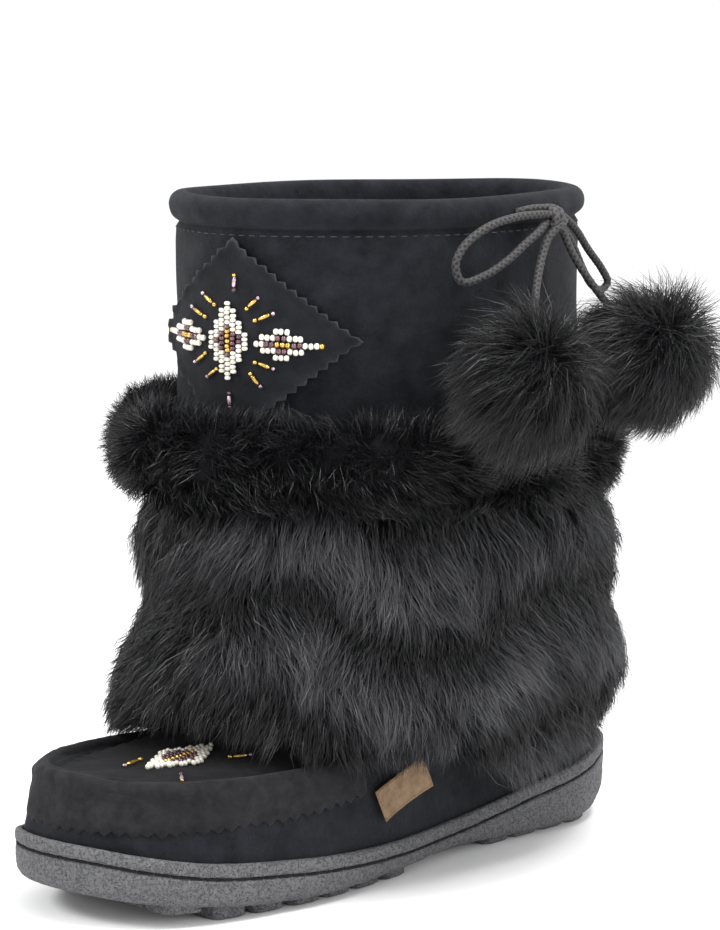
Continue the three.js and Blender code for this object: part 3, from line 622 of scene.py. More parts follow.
def make_lugs():
    """Tread blocks: a rounded square taken down through inset rings, stretched from the middle line to the
    sole's edge."""
    turn = np.linspace(0, 2 * np.pi, 40, endpoint=False)
    square = np.stack([np.cos(turn), np.sin(turn)], 1)
    square = square / (np.abs(square) ** 7).sum(1, keepdims=True) ** (1 / 7)
    last = 240
    starts = [24 + LUG["pitch"] * row for row in range(4)]
    starts += [140 + LUG["pitch"] * row for row in range(6)] + [last]
    groups = []
    for s in starts:
        for side, sign in ((2, 1), (1, -1)):
            low = base(last) - 2.6 if s == last else 0
            top = max(base(s), base(s + LUG["length"])) + 1.5
            rings = []
            section = ((0, top), (0, low + 1.2), (0.06, low + 0.4), (0.14, low), (0.6, low), (0.999, low))
            for shrink, z in section:
                a, b = (1 + square.T * (1 - shrink)) / 2
                place = s + b * LUG["length"]
                middle = sign * 4 - 2
                edge = column(OUTLINE, place, side) - sign * LUG["inset"]
                rings.append(np.stack([middle + a * (edge - middle), HEEL_BACK - place, 0 * a + z], 1))
            groups.append(np.array(rings))
    grid = np.array(groups)
    each = grid.shape[1] * grid.shape[2]
    blocks = [cells(*grid.shape[1:3], wrap_columns=True, start=i * each) for i in range(len(grid))]
    # Every second block is mirrored across the middle line, so its faces are turned over.
    blocks[1::2] = [block[:, ::-1] for block in blocks[1::2]]
    made = piece("tread_lugs", grid, [np.concatenate(blocks)], CREPE, closed=False)
    return stands_for(made, "crepe_rubber")


def make_sole_stitches():
    """Thread in the groove of the sole: long stitches end to end round the edge."""
    pitch = 6.2
    line = inside_edge(0.62, lambda s: lip(s) - GROOVE_DROP)
    line = np.vstack([line, line[:1]])
    places = np.arange(0, walked(line)[-1] - pitch / 2, pitch)
    centre, ahead = along(line, places), along(line, places + 0.5) - along(line, places - 0.5)
    points, faces = pips(centre, ahead, [0, 0, 1], pitch * 0.51, 0.5, 0.55, 0.3, 6, 5)
    return stands_for(piece("sole_stitches", points, faces, THREAD), "cord")


make_sole()
make_lugs()
make_sole_stitches()


# ---------------------------------------------------------------- moccasin foot
# Section of the foot wall: inset and height, from inside the foxing up and over the ridge.
WALL = [
    (3.3, lambda s: lip(s) - 2.5), (3.4, lambda s: lip(s) + 0.5), (3.6, lambda s: lip(s) + 2),
    (4.2, lambda s: (lip(s) + ridge(s)) / 2), (5.0, lambda s: ridge(s) - 6), (6.2, lambda s: ridge(s) - 2),
    (8.5, ridge), (10.5, lambda s: ridge(s) - 1.4), (12.0, lambda s: ridge(s) - dip(s)),
]


def toe_lean(edge, inset):
    """How far the wall leans back at the tip of the toe: up to 2.5 mm, from the middle of its height."""
    return 2.5 * ease(HEEL_BACK - edge[:, 1], 244, 274) * ease(inset, 3.7, 5.5)


def make_foot():
    """Suede wall of the foot: the wall section round the sole's edge, 2.5 mm thick, with soft creases that
    stand up from the foxing at the sides of the toe."""
    def rings(deeper, lower):
        """The wall's section, that much deeper in and lower."""
        return through([
            inside_edge(inset + deeper + toe_lean(EDGE, inset), lambda s, height=height: height(s) - lower)
            for inset, height in WALL
        ], 3)
    outer, inner = rings(0, 0), rings(2.5, 1.5)
    swell = 0.5 * unevenness(outer * [1, 1, 0.4], 26, 11) + 0.22 * unevenness(outer, 8, 12)
    under_band = ease(HEEL_BACK - EDGE[:, 1], 160, 172) * ease(outer[..., 2], 31, 36)
    swell = swell * 0.6 * ease(outer[..., 2], 20, 32) * (1 - under_band) - 0.7 * under_band
    outer = outer + EDGE_OUT[None] * swell[..., None]
    points, faces = sheet_shell(outer, inner, True)
    return stands_for(piece("foot_wall", points, faces, SUEDE), "suede", "upper")


def loop_distance(s, outer):
    """Distance round the sole's edge from the heel to the station s on one side."""
    distance = np.linspace(0, EDGE_LENGTH, len(EDGE), endpoint=False)
    half = slice(0, HALF + 1) if outer else slice(HALF, len(EDGE))
    ahead = HEEL_BACK - EDGE[half, 1]
    order = np.argsort(ahead)
    return np.interp(s, ahead[order], distance[half][order])


def edge_at(places):
    """Points and normals of the sole's edge at distances round it."""
    loop, normal = (np.vstack([part, part[:1]]) for part in (EDGE, EDGE_OUT))
    distance = np.linspace(0, EDGE_LENGTH, len(loop))
    return tuple(
        np.stack([np.interp(places % EDGE_LENGTH, distance, part[:, i]) for i in range(3)], -1)
        for part in (loop, normal)
    )


def make_band():
    """Pinked band: from a saw-toothed edge on the wall over the ridge to the apron, 1.3 mm thick and puffed
    over the ridge. Each tooth is a triangle wave of the distance round the edge."""
    first, last = loop_distance(BAND["back"], True), loop_distance(BAND["back"], False)
    teeth = int((last - first) / BAND["pitch"])
    places = np.linspace(first, last, teeth * 4 + 1)
    edge, normal = edge_at(places)
    wave = np.abs((np.arange(len(places)) / 4) % 1 - 0.5) * 2
    tooth = BAND["tooth"] * (wave - 0.5) + 0.35 * unevenness(edge, 9, 21)

    def low(s):
        """Height of the toothed edge, which drops 2.3 mm towards the toe."""
        return BAND["bottom"] + 2.3 * ease(-s, -212, -170) + tooth

    s_round = HEEL_BACK - edge[:, 1]
    sink, tuck = 1.6 * ease(s_round, 240, 272), 1.3 * ease(s_round, 225, 262)
    # Inset, height, and how far the outer face stands out and up.
    section = [
        (4.1, low, 0.3, 0), (4.25, lambda s: low(s) + 1.6 - tooth * 0.7, 1.0, 0),
        (4.5, lambda s: (low(s) - tooth + ridge(s) - 6) / 2, 1.2 - 0.4 * tuck, 0),
        (5.0, lambda s: ridge(s) - 6, 1.3 - tuck, 0.1),
        (6.0, lambda s: ridge(s) - 2.2 - sink, 1.3, 0.4), (7.3, lambda s: ridge(s) - 0.2 - sink, 1.1, 0.8),
        (8.8, lambda s: ridge(s) + 0.1 - sink, 0.5, 1.1), (10.3, lambda s: ridge(s) - 0.9 - sink, 0, 1.0),
        (11.4, lambda s: ridge(s) - dip(s) * 0.55 - 0.6 - sink / 2, 0, 0.8),
        (12.0, lambda s: ridge(s) - dip(s) - 0.6, 0, 0.3),
    ]

    def rings(share):
        """The section, standing out by a share of its full thickness."""
        return through([
            inside_edge(
                inset - aside * share + toe_lean(edge, inset),
                lambda s, height=height, rise=rise: height(s) + rise * share, edge, normal,
            )
            for inset, height, aside, rise in section
        ], 3)
    outer, inner = rings(1.0), rings(0.15)
    pucker = np.sin(places * 2 * np.pi / 7.5 + 2 * unevenness(edge, 40, 22))[None]
    near_apron = ease(np.linspace(0, 1, len(outer)), 0.62, 0.95)[:, None]
    lift = 0.28 * pucker * near_apron + 0.45 * unevenness(outer, 24, 23) + 0.12 * unevenness(outer, 6, 24)
    outer = outer + (normal * [1, 1, 0])[None] * lift[..., None] + np.array([0, 0, 0.5]) * lift[..., None]
    points, faces = sheet_shell(outer, inner, False)
    return stands_for(piece("moccasin_band", points, faces, BAND_SUEDE), "suede_band", "moc_band")


def make_apron():
    """Apron: ribs across the ring inside the ridge, each a flat arch of edge + rise·√(1 - across²), 2 mm
    thick, puckered where it meets the ridge."""
    def grid(drop):
        """The arch, lowered by drop."""
        ring = inside_edge(APRON_EDGE - 1.2, lambda s: 0 * s)
        sheet = ribs(ring, 28)
        keep = HEEL_BACK - sheet[:, 0, 1] > 182
        sheet = sheet[keep]
        share = np.linspace(-1, 1, 29)[None]
        s = HEEL_BACK - sheet[..., 1]
        edge = ridge(s) - dip(s)
        near = np.abs(share) + 0 * s
        pucker = 0.35 * np.sin(np.arange(len(sheet))[:, None] * 2 * np.pi / 4.7) * ease(near, 0.7, 1.0)
        sheet[..., 2] = edge + (crown(s) - edge) * np.sqrt(np.clip(1 - share**2, 0, 1)) - drop + pucker
        sheet[..., 2] += 0.4 * unevenness(sheet * [1, 1, 0], 22, 31) * (1 - ease(near, 0.8, 1.0))
        return sheet
    outer, inner = grid(-0.2), grid(2.0)
    points, faces = sheet_shell(outer, inner, False)
    points, faces = welded(points, faces)
    return stands_for(piece("apron_sheet", points, faces, APRON_SUEDE), "suede", "apron")


make_foot()
make_band()
make_apron()


# ---------------------------------------------------------------- leg, casing and lining
def leg_oval(turn, z, out, table=LEG):
    """Oval round the leg: ((half + out)·sin turn, middle + (length + out)·cos turn), turn 0 at the back."""
    back, front, half = (column(table, z, i) for i in (1, 2, 3))
    x = (half + out) * np.sin(turn)
    y = (back + front) / 2 + ((back - front) / 2 + out) * np.cos(turn)
    return np.stack(np.broadcast_arrays(x, y, z + 0.0), -1)


def oval_out(turn, table=LEG):
    """Outward normal of the leg's oval."""
    back, front, half = table[-1][1:]
    length = (back - front) / 2
    return unit(np.stack(np.broadcast_arrays(np.sin(turn) / half, np.cos(turn) / length, 0.0), -1))


TURNS = np.linspace(0, 2 * np.pi, LEG_STATIONS, endpoint=False)
# Turns round the leg that face the big toe's side and the outer front.
TOE_SIDE, OUTER_FRONT = np.radians([224, 135])


def rim_wave(turn):
    """Slight rise and fall of the top of the leg round its oval."""
    return 0.4 * np.sin(2 * turn + 0.6) + 0.25 * np.sin(5 * turn + 1.9)


def make_leg():
    """Suede leg in one closed section: up the outside, out over the stuffed casing above its seam, over the
    rim and down the inside; soft folds run down from the seam."""
    outside = [(height, 0) for height in (70, 100, 132, 150, 165, 180, 195, 210, 225, 237)]
    outside += [(244, 0.1), (246.6, 0), (247.5, -0.5), (248.2, -1.0), (248.9, -0.5), (249.9, 0.9),
                (251.4, 2.1), (253.3, 2.7), (255.7, 2.7), (257.8, 1.8), (259.2, 0.2), (259.8, -1.7),
                (259.4, -3.6), (257.7, -5.2), (254.5, -6.2)]
    inside = [(248, -6.0), (243, -4.6), (236, -3.4), (200, -3.2), (150, -3.2), (100, -3.2), (70, -3.2)]
    rows = through([leg_oval(TURNS, float(z), out) for z, out in outside + inside], 3)
    z = rows[..., 2]
    normal = oval_out(TURNS)[None]
    shown = ease(z, 150, 175)
    folds = 0.55 * unevenness(rows * [1, 1, 0.35], 60, 41) + 0.22 * unevenness(rows * [1, 1, 0.6], 22, 42)
    slack = -0.4 - 0.9 * np.maximum(np.cos(TURNS - TOE_SIDE), 0)[None]
    gather = 0.25 * np.sin(26 * TURNS + 3 * np.sin(2 * TURNS))[None]
    gather = gather * ease(z, 247, 251) * (1 - ease(z, 253, 258))
    rows = rows + normal * ((folds * (1 - 0.6 * ease(z, 240, 247)) + slack + gather) * shown)[..., None]
    rows[..., 2] += rim_wave(TURNS)[None] * ease(z, 238, 256)
    points = rows.reshape(-1, 3)
    faces = [cells(*rows.shape[:2], wrap_rows=True, wrap_columns=True)]
    return stands_for(piece("leg_suede", points, faces, SUEDE), "suede")


def make_lining():
    """Fleece lining: leg ovals inside the wall, blended into rings of the foot down to the foot bed."""
    turn = np.linspace(0, 2 * np.pi, len(EDGE), endpoint=False)
    front = ease(HEEL_BACK - EDGE[:, 1], 120, 200)
    rows = [leg_oval(turn, z, out) for z, out in (
        (251.0, -6.9), (247.0, -7.4), (240, -5.5), (200, -4.8), (150, -4.8), (105, -4.8), (80, -4.8),
        (60, -5),
    )]
    rows.append(leg_oval(turn, 48.0, -4))
    for inset, height in (
        (11 + 6 * front, lambda s: ridge(s) - 7 - 0.6 * dip(s)), (9 + 2 * front, lambda s: ridge(s) - 11),
        (8.2, lambda s: (lip(s) + ridge(s)) / 2 - 4), (7.4, lip), (7.2, lambda s: floor_of(s) + 2),
    ):
        rows.append(inside_edge(inset, height))
    inner = through(rows, 3)
    pile = 0.55 * unevenness(inner, 7, 51) + 0.3 * unevenness(inner, 3, 52)
    middle = np.array([0, 26.5, 0])
    way = unit((inner - middle) * [1, 1, 0])
    inner = inner - way * (0.4 * pile)[..., None]
    outer = inner + way * 1.2
    points, faces = sheet_shell(inner, outer, True)
    return stands_for(piece("fleece_lining", points, faces, LINING), "fleece")


def make_foot_bed():
    """Fleece foot bed: ribs across a ring inside the wall, piled and slightly domed."""
    ring = inside_edge(6.6, lambda s: floor_of(s) + 3.2)
    top = ribs(ring, 24)
    share = np.linspace(-1, 1, 25)[None]
    pile = 0.4 * unevenness(top, 7, 61) + 0.25 * unevenness(top, 3, 62)
    top[..., 2] += (1 - share**2) * (0.6 + pile)
    bottom = top.copy()
    bottom[..., 2] = floor_of(HEEL_BACK - bottom[..., 1]) + 0.3
    points, faces = sheet_shell(top, bottom, False)
    points, faces = welded(points, faces)
    return stands_for(piece("foot_bed", points, faces, LINING), "fleece", "insole")


def make_seam_stitches():
    """Row of short stitches along the lower seam of the casing."""
    pitch = 4.4
    turn = np.linspace(0, 2 * np.pi, 721)
    line = leg_oval(turn, SEAM - 0.3 + 0 * turn, -0.22 - 0.9 * np.maximum(np.cos(turn - TOE_SIDE), 0))
    line[:, 2] += rim_wave(turn) * ease(SEAM, 238, 256)
    places = np.arange(0, walked(line)[-1] - pitch / 2, pitch)
    centre = along(line, places)
    points, faces = pips(centre, along(line, places + 0.5) - along(line, places - 0.5), [0, 0, 1],
                         1.35, 0.32, 0.26, 0.5, 6, 4)
    return stands_for(piece("casing_stitches", points, faces, GREY_THREAD), "cord")


make_leg()
make_lining()
make_foot_bed()
make_seam_stitches()

# ---------------------------------------------------------------- patch on the leg
LEG_LENGTH, LEG_HALF, LEG_MIDDLE = 87.5, 67.3, 26.5


def on_leg(u, z, out):
    """Point at u mm round the leg from the middle of the patch, towards the outer side, and its normal."""
    degrees = np.linspace(-170, 20, 1901)
    angle = np.radians(degrees)
    line = np.stack([LEG_HALF * np.cos(angle), LEG_LENGTH * np.sin(angle), 0 * angle], 1)
    distance = walked(line)
    angle = np.interp(u + np.interp(PATCH["turn"], degrees, distance), distance, angle)
    normal = unit(np.stack([np.cos(angle) / LEG_HALF, np.sin(angle) / LEG_LENGTH, 0 * angle], -1))
    x, y = LEG_HALF * np.cos(angle), LEG_MIDDLE + LEG_LENGTH * np.sin(angle)
    point = np.stack(np.broadcast_arrays(x, y, z), -1)
    return point + normal * np.asarray(out)[..., None], normal


def make_patch():
    """Diamond with pinked edges: u = (a - b)/2·width and z = (a + b)/2·tall for a, b from -1 to 1, its
    border pushed in by a triangle wave and curled off the leg."""
    steps = PATCH["teeth"] * 4
    side = np.linspace(-1, 1, steps + 1)
    a, b = np.meshgrid(side, side, indexing="ij")
    tooth = lambda x: np.abs(((x + 1) / 2 * PATCH["teeth"]) % 1 - 0.5) * 2
    bite = 0.06
    a2 = a * (1 - bite * tooth(b) * np.abs(a) ** 24 * (1 - np.abs(b) ** 8))
    b2 = b * (1 - bite * tooth(a) * np.abs(b) ** 24 * (1 - np.abs(a) ** 8))
    u = (a2 - b2) / 2 * PATCH["width"]
    z = PATCH["height"] + (a2 + b2) / 2 * PATCH["tall"]
    border = np.maximum(np.abs(a), np.abs(b))
    curl = 1.3 * ease(border, 0.86, 1.0) * (0.7 + 0.5 * np.sin(5 * u / 9 + z / 8))
    flat = np.stack([u, z, 0 * u], -1)
    out = GAP + PATCH["lift"] + curl + 0.25 * unevenness(flat, 17, 71)
    top, _ = on_leg(u, z, out)
    bottom, _ = on_leg(u, z, out - 1.2)
    points, faces = sheet_shell(top, bottom, False)
    # Painted highlight along the patch's border: the attribute is 1 at its edge, which is coloured paler.
    rubbed = np.tile(ease(border, 0.955, 0.985).ravel(), 2)
    made = piece("diamond_patch_sheet", points, faces, PATCH_SUEDE, rubbed=rubbed)
    return stands_for(made, "suede_band", "diamond_patch")


make_patch()

# ---------------------------------------------------------------- beadwork
BEAD = {"radius": 1.22, "pitch": 1.72, "row": 2.4}
FINISHES = {"c": CREAM_BEAD, "g": GOLD_BEAD, "p": PLUM_BEAD, "s": PINK_BEAD}
NAMES = {"c": "cream", "g": "gold", "p": "plum", "s": "pink"}
# Strings of the centre lozenge from top to bottom, at steps of one row from the middle string.
LOZENGE = {
    0: "cccccpgggggpccccc", 1: "cccccppppccccc", -1: "cccccppppccccc", 2: "cccppcccc", -2: "ccccpcccc",
    3: "cccc", -3: "cccc",
}
# Rows of a wing from its inner end outwards: height in rows, start in mm from the lozenge's middle.
WING = [
    (2, 18.2, "ccc"), (1, 13.0, "cccppccc"), (0, 10.6, "ccppgggppcccg"), (-1, 13.2, "cccppccc"),
    (-2, 18.0, "ccc"),
]
# Rays: inner and outer ends as mm from the lozenge's middle, and their colours.
RAYS = [
    ((2.9, 18.3), (3.1, 25.0), "psg"), ((0.6, -18.8), (0.8, -25.0), "psp"),
    ((7.7, 11.7), (12.8, 16.7), "ggs"), ((10.5, 7.6), (18.6, 10.9), "ggs"),
    ((10.4, -7.2), (18.6, -9.7), "ggs"), ((8.9, -11.0), (13.6, -16.7), "ggs"),
    ((-5.1, 12.7), (-12.2, 17.1), "ggs"), ((-9.9, 7.9), (-18.8, 11.8), "ggs"),
    ((-9.6, -5.0), (-17.0, -9.4), "ggs"), ((-4.3, -10.2), (-10.2, -14.2), "ggs"),
]
BEAD_MIDDLE = (-2.0, 207.4)


def lay_beads():
    """Beads on the patch: (u, z, way of the thread in u, in z, half length, radius, colour)."""
    beads = []
    for step, string in LOZENGE.items():
        for i, colour in enumerate(string):
            height = ((len(string) - 1) / 2 - i) * BEAD["pitch"]
            beads.append((step * BEAD["row"], height, 0, 1, BEAD["pitch"] * 0.47, BEAD["radius"], colour))
    for mirror in (1, -1):
        for row, start, string in WING:
            for i, colour in enumerate(string):
                reach = start + (i + 0.5) * 2.0
                height = row * 2.35 - 0.035 * mirror * reach
                beads.append((mirror * reach, height, 1, 0, 0.98, BEAD["radius"], colour))
    for inner, outer, colours in RAYS:
        beads += lay_ray(inner, outer, colours)
    return beads


def lay_ray(inner, outer, colours):
    """A long bead between two small ones, from an inner to an outer end."""
    inner, outer = np.array(inner), np.array(outer)
    reach = np.linalg.norm(outer - inner)
    way = (outer - inner) / reach
    shares, lengths, radii = (0.1, 0.52, 0.93), (0.2, 0.62, 0.17), (0.85, 0.76, 0.75)
    return [
        (*(inner + (outer - inner) * share), *way, reach * length / 2, radius, colour)
        for share, length, radius, colour in zip(shares, lengths, radii, colours)
    ]


def make_patch_beads():
    """Beads of the patch by colour, laid on the leg and nudged a little out of line."""
    beads = lay_beads()
    rng = np.random.default_rng(81)
    groups = {}
    for colour in FINISHES:
        rows = np.array([bead[:6] for bead in beads if bead[6] == colour])
        u = rows[:, 0] + BEAD_MIDDLE[0] + rng.normal(0, 0.1, len(rows))
        z = rows[:, 1] + BEAD_MIDDLE[1] + rng.normal(0, 0.08, len(rows))
        centre, normal = on_leg(u, z, np.full(len(rows), GAP + PATCH["lift"] + 0.85))
        aside = np.cross([0, 0, 1], normal)
        way = aside * rows[:, 2:3] + np.array([0, 0, 1]) * rows[:, 3:4]
        way = way + rng.normal(0, 0.06, way.shape)
        groups[colour] = [centre, way, normal, rows[:, 4], rows[:, 5]]
    return groups


def make_beads(groups):
    """One joined mesh for each colour of bead."""
    for colour, (centre, way, normal, half, width) in groups.items():
        points, faces = pips(centre, way, normal, half, width, width * 0.95, 0.55, 8, 4)
        stands_for(piece(NAMES[colour] + "_beads", points, faces, FINISHES[colour]), "cord")


def apron_height(x, y):
    """Height of the apron's arch: edge + (crown - edge)·√(1 - across²)."""
    s = HEEL_BACK - y
    inner, outer = column(OUTLINE, s, 1) + APRON_EDGE, column(OUTLINE, s, 2) - APRON_EDGE
    across = np.clip((2 * x - outer - inner) / (outer - inner), -1, 1)
    edge = ridge(s) - dip(s)
    return edge + (crown(s) - edge) * np.sqrt(1 - across**2)


def add_apron_beads(groups):
    """Lozenge and rays on the apron, strings running back from the toe."""
    rng = np.random.default_rng(82)
    middle, back = np.array([2.3, -79.9]), unit(np.array([0.1, 1.0]))
    right = np.array([back[1], -back[0]])
    rows = {0: 18, 1: 15, -1: 15, 2: 11, -2: 11, 3: 7, -3: 7, 4: 3, -4: 3}
    beads = []
    for step, count in rows.items():
        for i in range(count):
            from_middle = i - (count - 1) / 2
            forward = from_middle * BEAD["pitch"]
            place = middle + right * step * BEAD["row"] + back * (forward + 0.35 * max(step, 0))
            inside = "g" if step == 0 else "p"
            colour = "c" if abs(forward) + abs(step) * 2 > 7.5 else inside
            beads.append((*place, *back, 0.81, 1.15, colour))
    for ends in (
        ((-9.2, -88.3), (-8.0, -98.5), "ggs"), ((17.0, -92.2), (24.5, -98.2), "psg"),
        ((18.0, -70.0), (23.7, -62.6), "ggs"),
    ):
        beads += lay_ray(*ends)
    for colour in FINISHES:
        found = np.array([bead[:6] for bead in beads if bead[6] == colour])
        if len(found) == 0:
            continue
        x, y = found[:, 0], found[:, 1]
        fall_x = apron_height(x - 0.5, y) - apron_height(x + 0.5, y)
        fall_y = apron_height(x, y - 0.5) - apron_height(x, y + 0.5)
        normal = unit(np.stack([fall_x, fall_y, np.ones(len(x))], 1))
        centre = np.stack([x, y, apron_height(x, y)], 1) + normal * 1.15
        centre = centre + rng.normal(0, 0.08, (len(found), 3))
        way = np.stack([found[:, 2], found[:, 3], 0 * x], 1)
        way = way - normal * (way * normal).sum(1, keepdims=True)
        for i, part in enumerate((centre, way, normal, found[:, 4], found[:, 5])):
            groups[colour][i] = np.concatenate([groups[colour][i], part])
    return groups


make_beads(add_apron_beads(make_patch_beads()))


# ---------------------------------------------------------------- label
def make_label():
    """Blank tan label: a flat leather strip, its ends curling out, with a stitch line inside its edge."""
    tilt, turn = np.radians([LABEL["tilt"], LABEL["turn"]])
    y_way = np.array([0, np.cos(tilt), np.sin(tilt)])
    z_way = np.array([0, -np.sin(tilt), np.cos(tilt)])
    spin = np.array([[np.cos(turn), -np.sin(turn), 0], [np.sin(turn), np.cos(turn), 0], [0, 0, 1]])
    y_way, z_way, x_way = spin @ y_way, spin @ z_way, spin @ np.array([1, 0, 0])
    middle = np.array([LABEL["out"], HEEL_BACK - LABEL["s"], LABEL["z"]])

    def place(a, b, out):
        """Point of the label for a and b from -1 to 1, that far out of its plane."""
        a, b, out = (np.asarray(x, float)[..., None] for x in (a, b, out))
        return middle + y_way * a * LABEL["width"] / 2 + z_way * b * LABEL["height"] / 2 + x_way * out

    a, b = np.meshgrid(np.linspace(-1, 1, 40), np.linspace(-1, 1, 24), indexing="ij")
    curl = 0.9 * np.abs(a) ** 3 + 0.25 * np.sin(2.2 * a + 1.4 * b)
    edge = 0.35 * ease(np.maximum(np.abs(a), np.abs(b)), 0.93, 1.0)
    points, faces = sheet_shell(place(a, b, 0.6 + curl - edge), place(a, b, -0.5 + curl + edge), False)
    stands_for(piece("side_label", points, faces, TAN), "tan_leather", "label")
    loop = np.array([(-1, -1), (1, -1), (1, 1), (-1, 1), (-1, -1)]) * [0.93, 0.86]
    half_width, half_height = LABEL["width"] / 2, LABEL["height"] / 2
    line = even(np.c_[loop * [half_width, half_height], [0] * 5], 53)[:-1]
    ahead = np.roll(line, -1, 0) - np.roll(line, 1, 0)
    a, b = line[:, 0] / half_width, line[:, 1] / half_height
    centre = place(a, b, 0.72 + 0.9 * np.abs(a) ** 3 + 0.25 * np.sin(2.2 * a + 1.4 * b))
    way = y_way * ahead[:, :1] + z_way * ahead[:, 1:2]
    points, faces = pips(centre, way, x_way, 0.5, 0.24, 0.2, 0.5, 6, 4)
    stands_for(piece("label_stitches", points, faces, TAN_THREAD), "cord")


make_label()


# ---------------------------------------------------------------- fur
def hairs(name, root, middle, tip, facing, width, shade):
    """Flat tapering hairs in three triangles each: full width at the root, four fifths of it at the middle
    point, nothing at the tip. Each is turned by its own angle from facing outwards."""
    count = len(root)
    rng = np.random.default_rng(len(name) * 7 + count)
    ahead = unit(tip - root)
    flat = unit(np.cross(ahead, facing))
    twist = rng.normal(0, 0.75, (count, 1))
    flat = flat * np.cos(twist) + np.cross(ahead, flat) * np.sin(twist)
    half = np.broadcast_to(width, count)[:, None] / 2
    points = np.stack([
        root - flat * half, root + flat * half, middle - flat * half * 0.8, middle + flat * half * 0.8, tip,
    ], 1)
    start = np.arange(count)[:, None] * 5
    faces = [start + np.array([[0, 1, 3, 2]]), start + np.array([[2, 3, 4]])]
    tone = np.stack([shade * 0.35, shade * 0.35, shade * 0.8, shade * 0.8, shade], 1)
    made = piece(name, points, faces, HAIR, closed=False, shade=np.clip(tone, 0, 1))
    return stands_for(made, "pelt")


def tufts(rng, root, out, lie, length, lift, each, spread, gather, stray=0.16):
    """Tufts of hair. A root is scattered round its tuft's root; its tip is root + (lift·out + lie)·length,
    drawn towards the tuft's own tip by the share gather; its middle point stands further out."""
    count = len(root)
    many = (count, each, 1)
    out_, lie_ = out[:, None], lie[:, None]
    scatter = rng.normal(0, spread, (count, each, 3))
    scatter = scatter - out_ * (scatter * out_).sum(-1, keepdims=True)
    reach = length[:, None, None] * rng.uniform(0.72, 1.06, many)
    stand = out_ * np.asarray(lift).reshape(-1, 1, 1)
    direction = unit(lie_ + stand + rng.normal(0, stray, (count, each, 3)))
    start = root[:, None] + scatter
    end = start - scatter * gather + direction * reach
    half_way = direction * 0.5 + out_ * 0.16 + rng.normal(0, 0.03, (count, each, 3))
    bow = start + half_way * reach - scatter * gather * 0.25
    facing = out_ + 0 * start
    return (x.reshape(-1, 3) for x in (start, bow, end, facing))


def pelt_low(turn):
    """Height of the pelt's lower edge at a turn round the leg."""
    y = leg_oval(turn, 62.0 + 0 * turn, -6, PELT)[..., 1]
    over_apron, over_side = (np.maximum(np.cos(turn - way), 0) for way in (3.05, 3.95))
    return column(PELT_EDGE, HEEL_BACK - y, 1) + 5.5 * over_apron**12 - 9 * over_side**6


def flare(turn, z):
    """How far the pelt swells past its outline over the big toe's side of the hem."""
    return 12 * np.exp(-(((z - 62) / 16) ** 2)) * np.maximum(np.cos(turn - TOE_SIDE), 0) ** 2


def make_pelt_hide():
    """Dark hide and under-fur below the hair: ovals 10 mm inside the pelt's outline, 4 mm thick."""
    turn = np.linspace(0, 2 * np.pi, 220, endpoint=False)
    low = pelt_low(turn) + 9
    share = np.linspace(0, 1, 24)[:, None]
    z = low[None] * (1 - share) + 150 * share
    outer = leg_oval(turn[None], z, -10.0, PELT)
    uneven = 1.2 * unevenness(outer, 16, 91) + 0.8 * unevenness(outer, 6, 92) + 0.5 * flare(turn[None], z)
    outer = outer + oval_out(turn)[None] * uneven[..., None]
    inner = leg_oval(turn[None], z, -14.0, PELT)
    points, faces = sheet_shell(outer, inner, True)
    return stands_for(piece("pelt_hide", points, faces, UNDERFUR), "pelt", "fur_leg")


def make_pelt_hair():
    """Hair of the pelt: tufts over the hide, lying down the leg and parted to both sides of its outer front,
    combed by slow waves and standing out in two soft tiers, shorter over the label."""
    rng = np.random.default_rng(93)
    for name, start, end in (("pelt_hair_outer", 0.0, 1.0), ("pelt_hair_inner", 1.0, 2.0)):
        count, each = TUFTS["pelt"], HAIRS_IN_TUFT
        turn = rng.uniform(start, end, count) * np.pi
        low = pelt_low(turn)
        z = low + 14 + (148 - low - 14) * rng.uniform(0, 1, count) ** 1.1
        out = oval_out(turn)
        tier = 0.5 + 0.5 * np.cos((z - 132) * 2 * np.pi / 46 + 1.5 * unevenness(out * 60, 50, 96))
        depth = -10.5 + 2.2 * tier + 0.6 * flare(turn, z - 8) + rng.normal(0, 0.6, count)
        root = leg_oval(turn, z, depth, PELT)
        aside = np.stack([out[:, 1], -out[:, 0], 0 * z], 1)
        sway = 0.6 * unevenness(root * [1, 1, 1.3], 58, 94) + 0.3 * unevenness(root, 17, 95)
        lean = sway + 0.5 * np.sin(turn - OUTER_FRONT)
        lie = unit(np.array([0, 0, -1.0]) + aside * lean[:, None] * 0.75)
        by_label = np.exp(-(((root[:, 1] + 14) / 30) ** 2)) * (root[:, 0] > 0) * ease(-z, -68, -52)
        length = rng.uniform(16, 22, count) * (0.85 + 0.25 * tier) * (1 - 0.42 * by_label)
        lift = 0.26 + 0.22 * tier + 0.1 * rng.normal(size=count) + 0.35 * flare(turn, z - 8) / 9
        start_, bow, tip, facing = tufts(rng, root, out, lie, length, lift, each, 2.2, 0.75, 0.11)
        # Painted highlight on the tiers: strongest at the outer front, weak over the toe and at the front
        # hem.
        painted_sheen = tier**1.5 * (0.8 + 0.45 * unevenness(root * [1, 1, 1.6], 30, 98))
        painted_sheen = painted_sheen * (1.15 - 0.35 * ease(z, 75, 140))
        painted_sheen = painted_sheen * (1 + 0.75 * np.exp(-(((turn - 2.25) / 0.4) ** 2)))
        painted_sheen = painted_sheen * (1 - 0.75 * ease(turn, 2.65, 3.15)) * (1 - 0.25 * ease(-turn, -1.9, -1.2))
        painted_sheen = painted_sheen * (1 - 0.65 * ease(turn, 1.7, 2.1) * (1 - ease(z - low, 26, 42)))
        tone = np.repeat(np.clip(0.03 + 0.06 * unevenness(root, 9, 97) + 0.95 * painted_sheen, 0.01, 1.6), each)
        tone = tone * rng.uniform(0.45, 1.3, len(tone))
        hairs(name, start_, bow, tip, facing, rng.uniform(0.23, 0.39, len(tone)), tone)


ROLL = {"out": 10.5, "z": 162, "across": 8.5, "tall": 13.5}


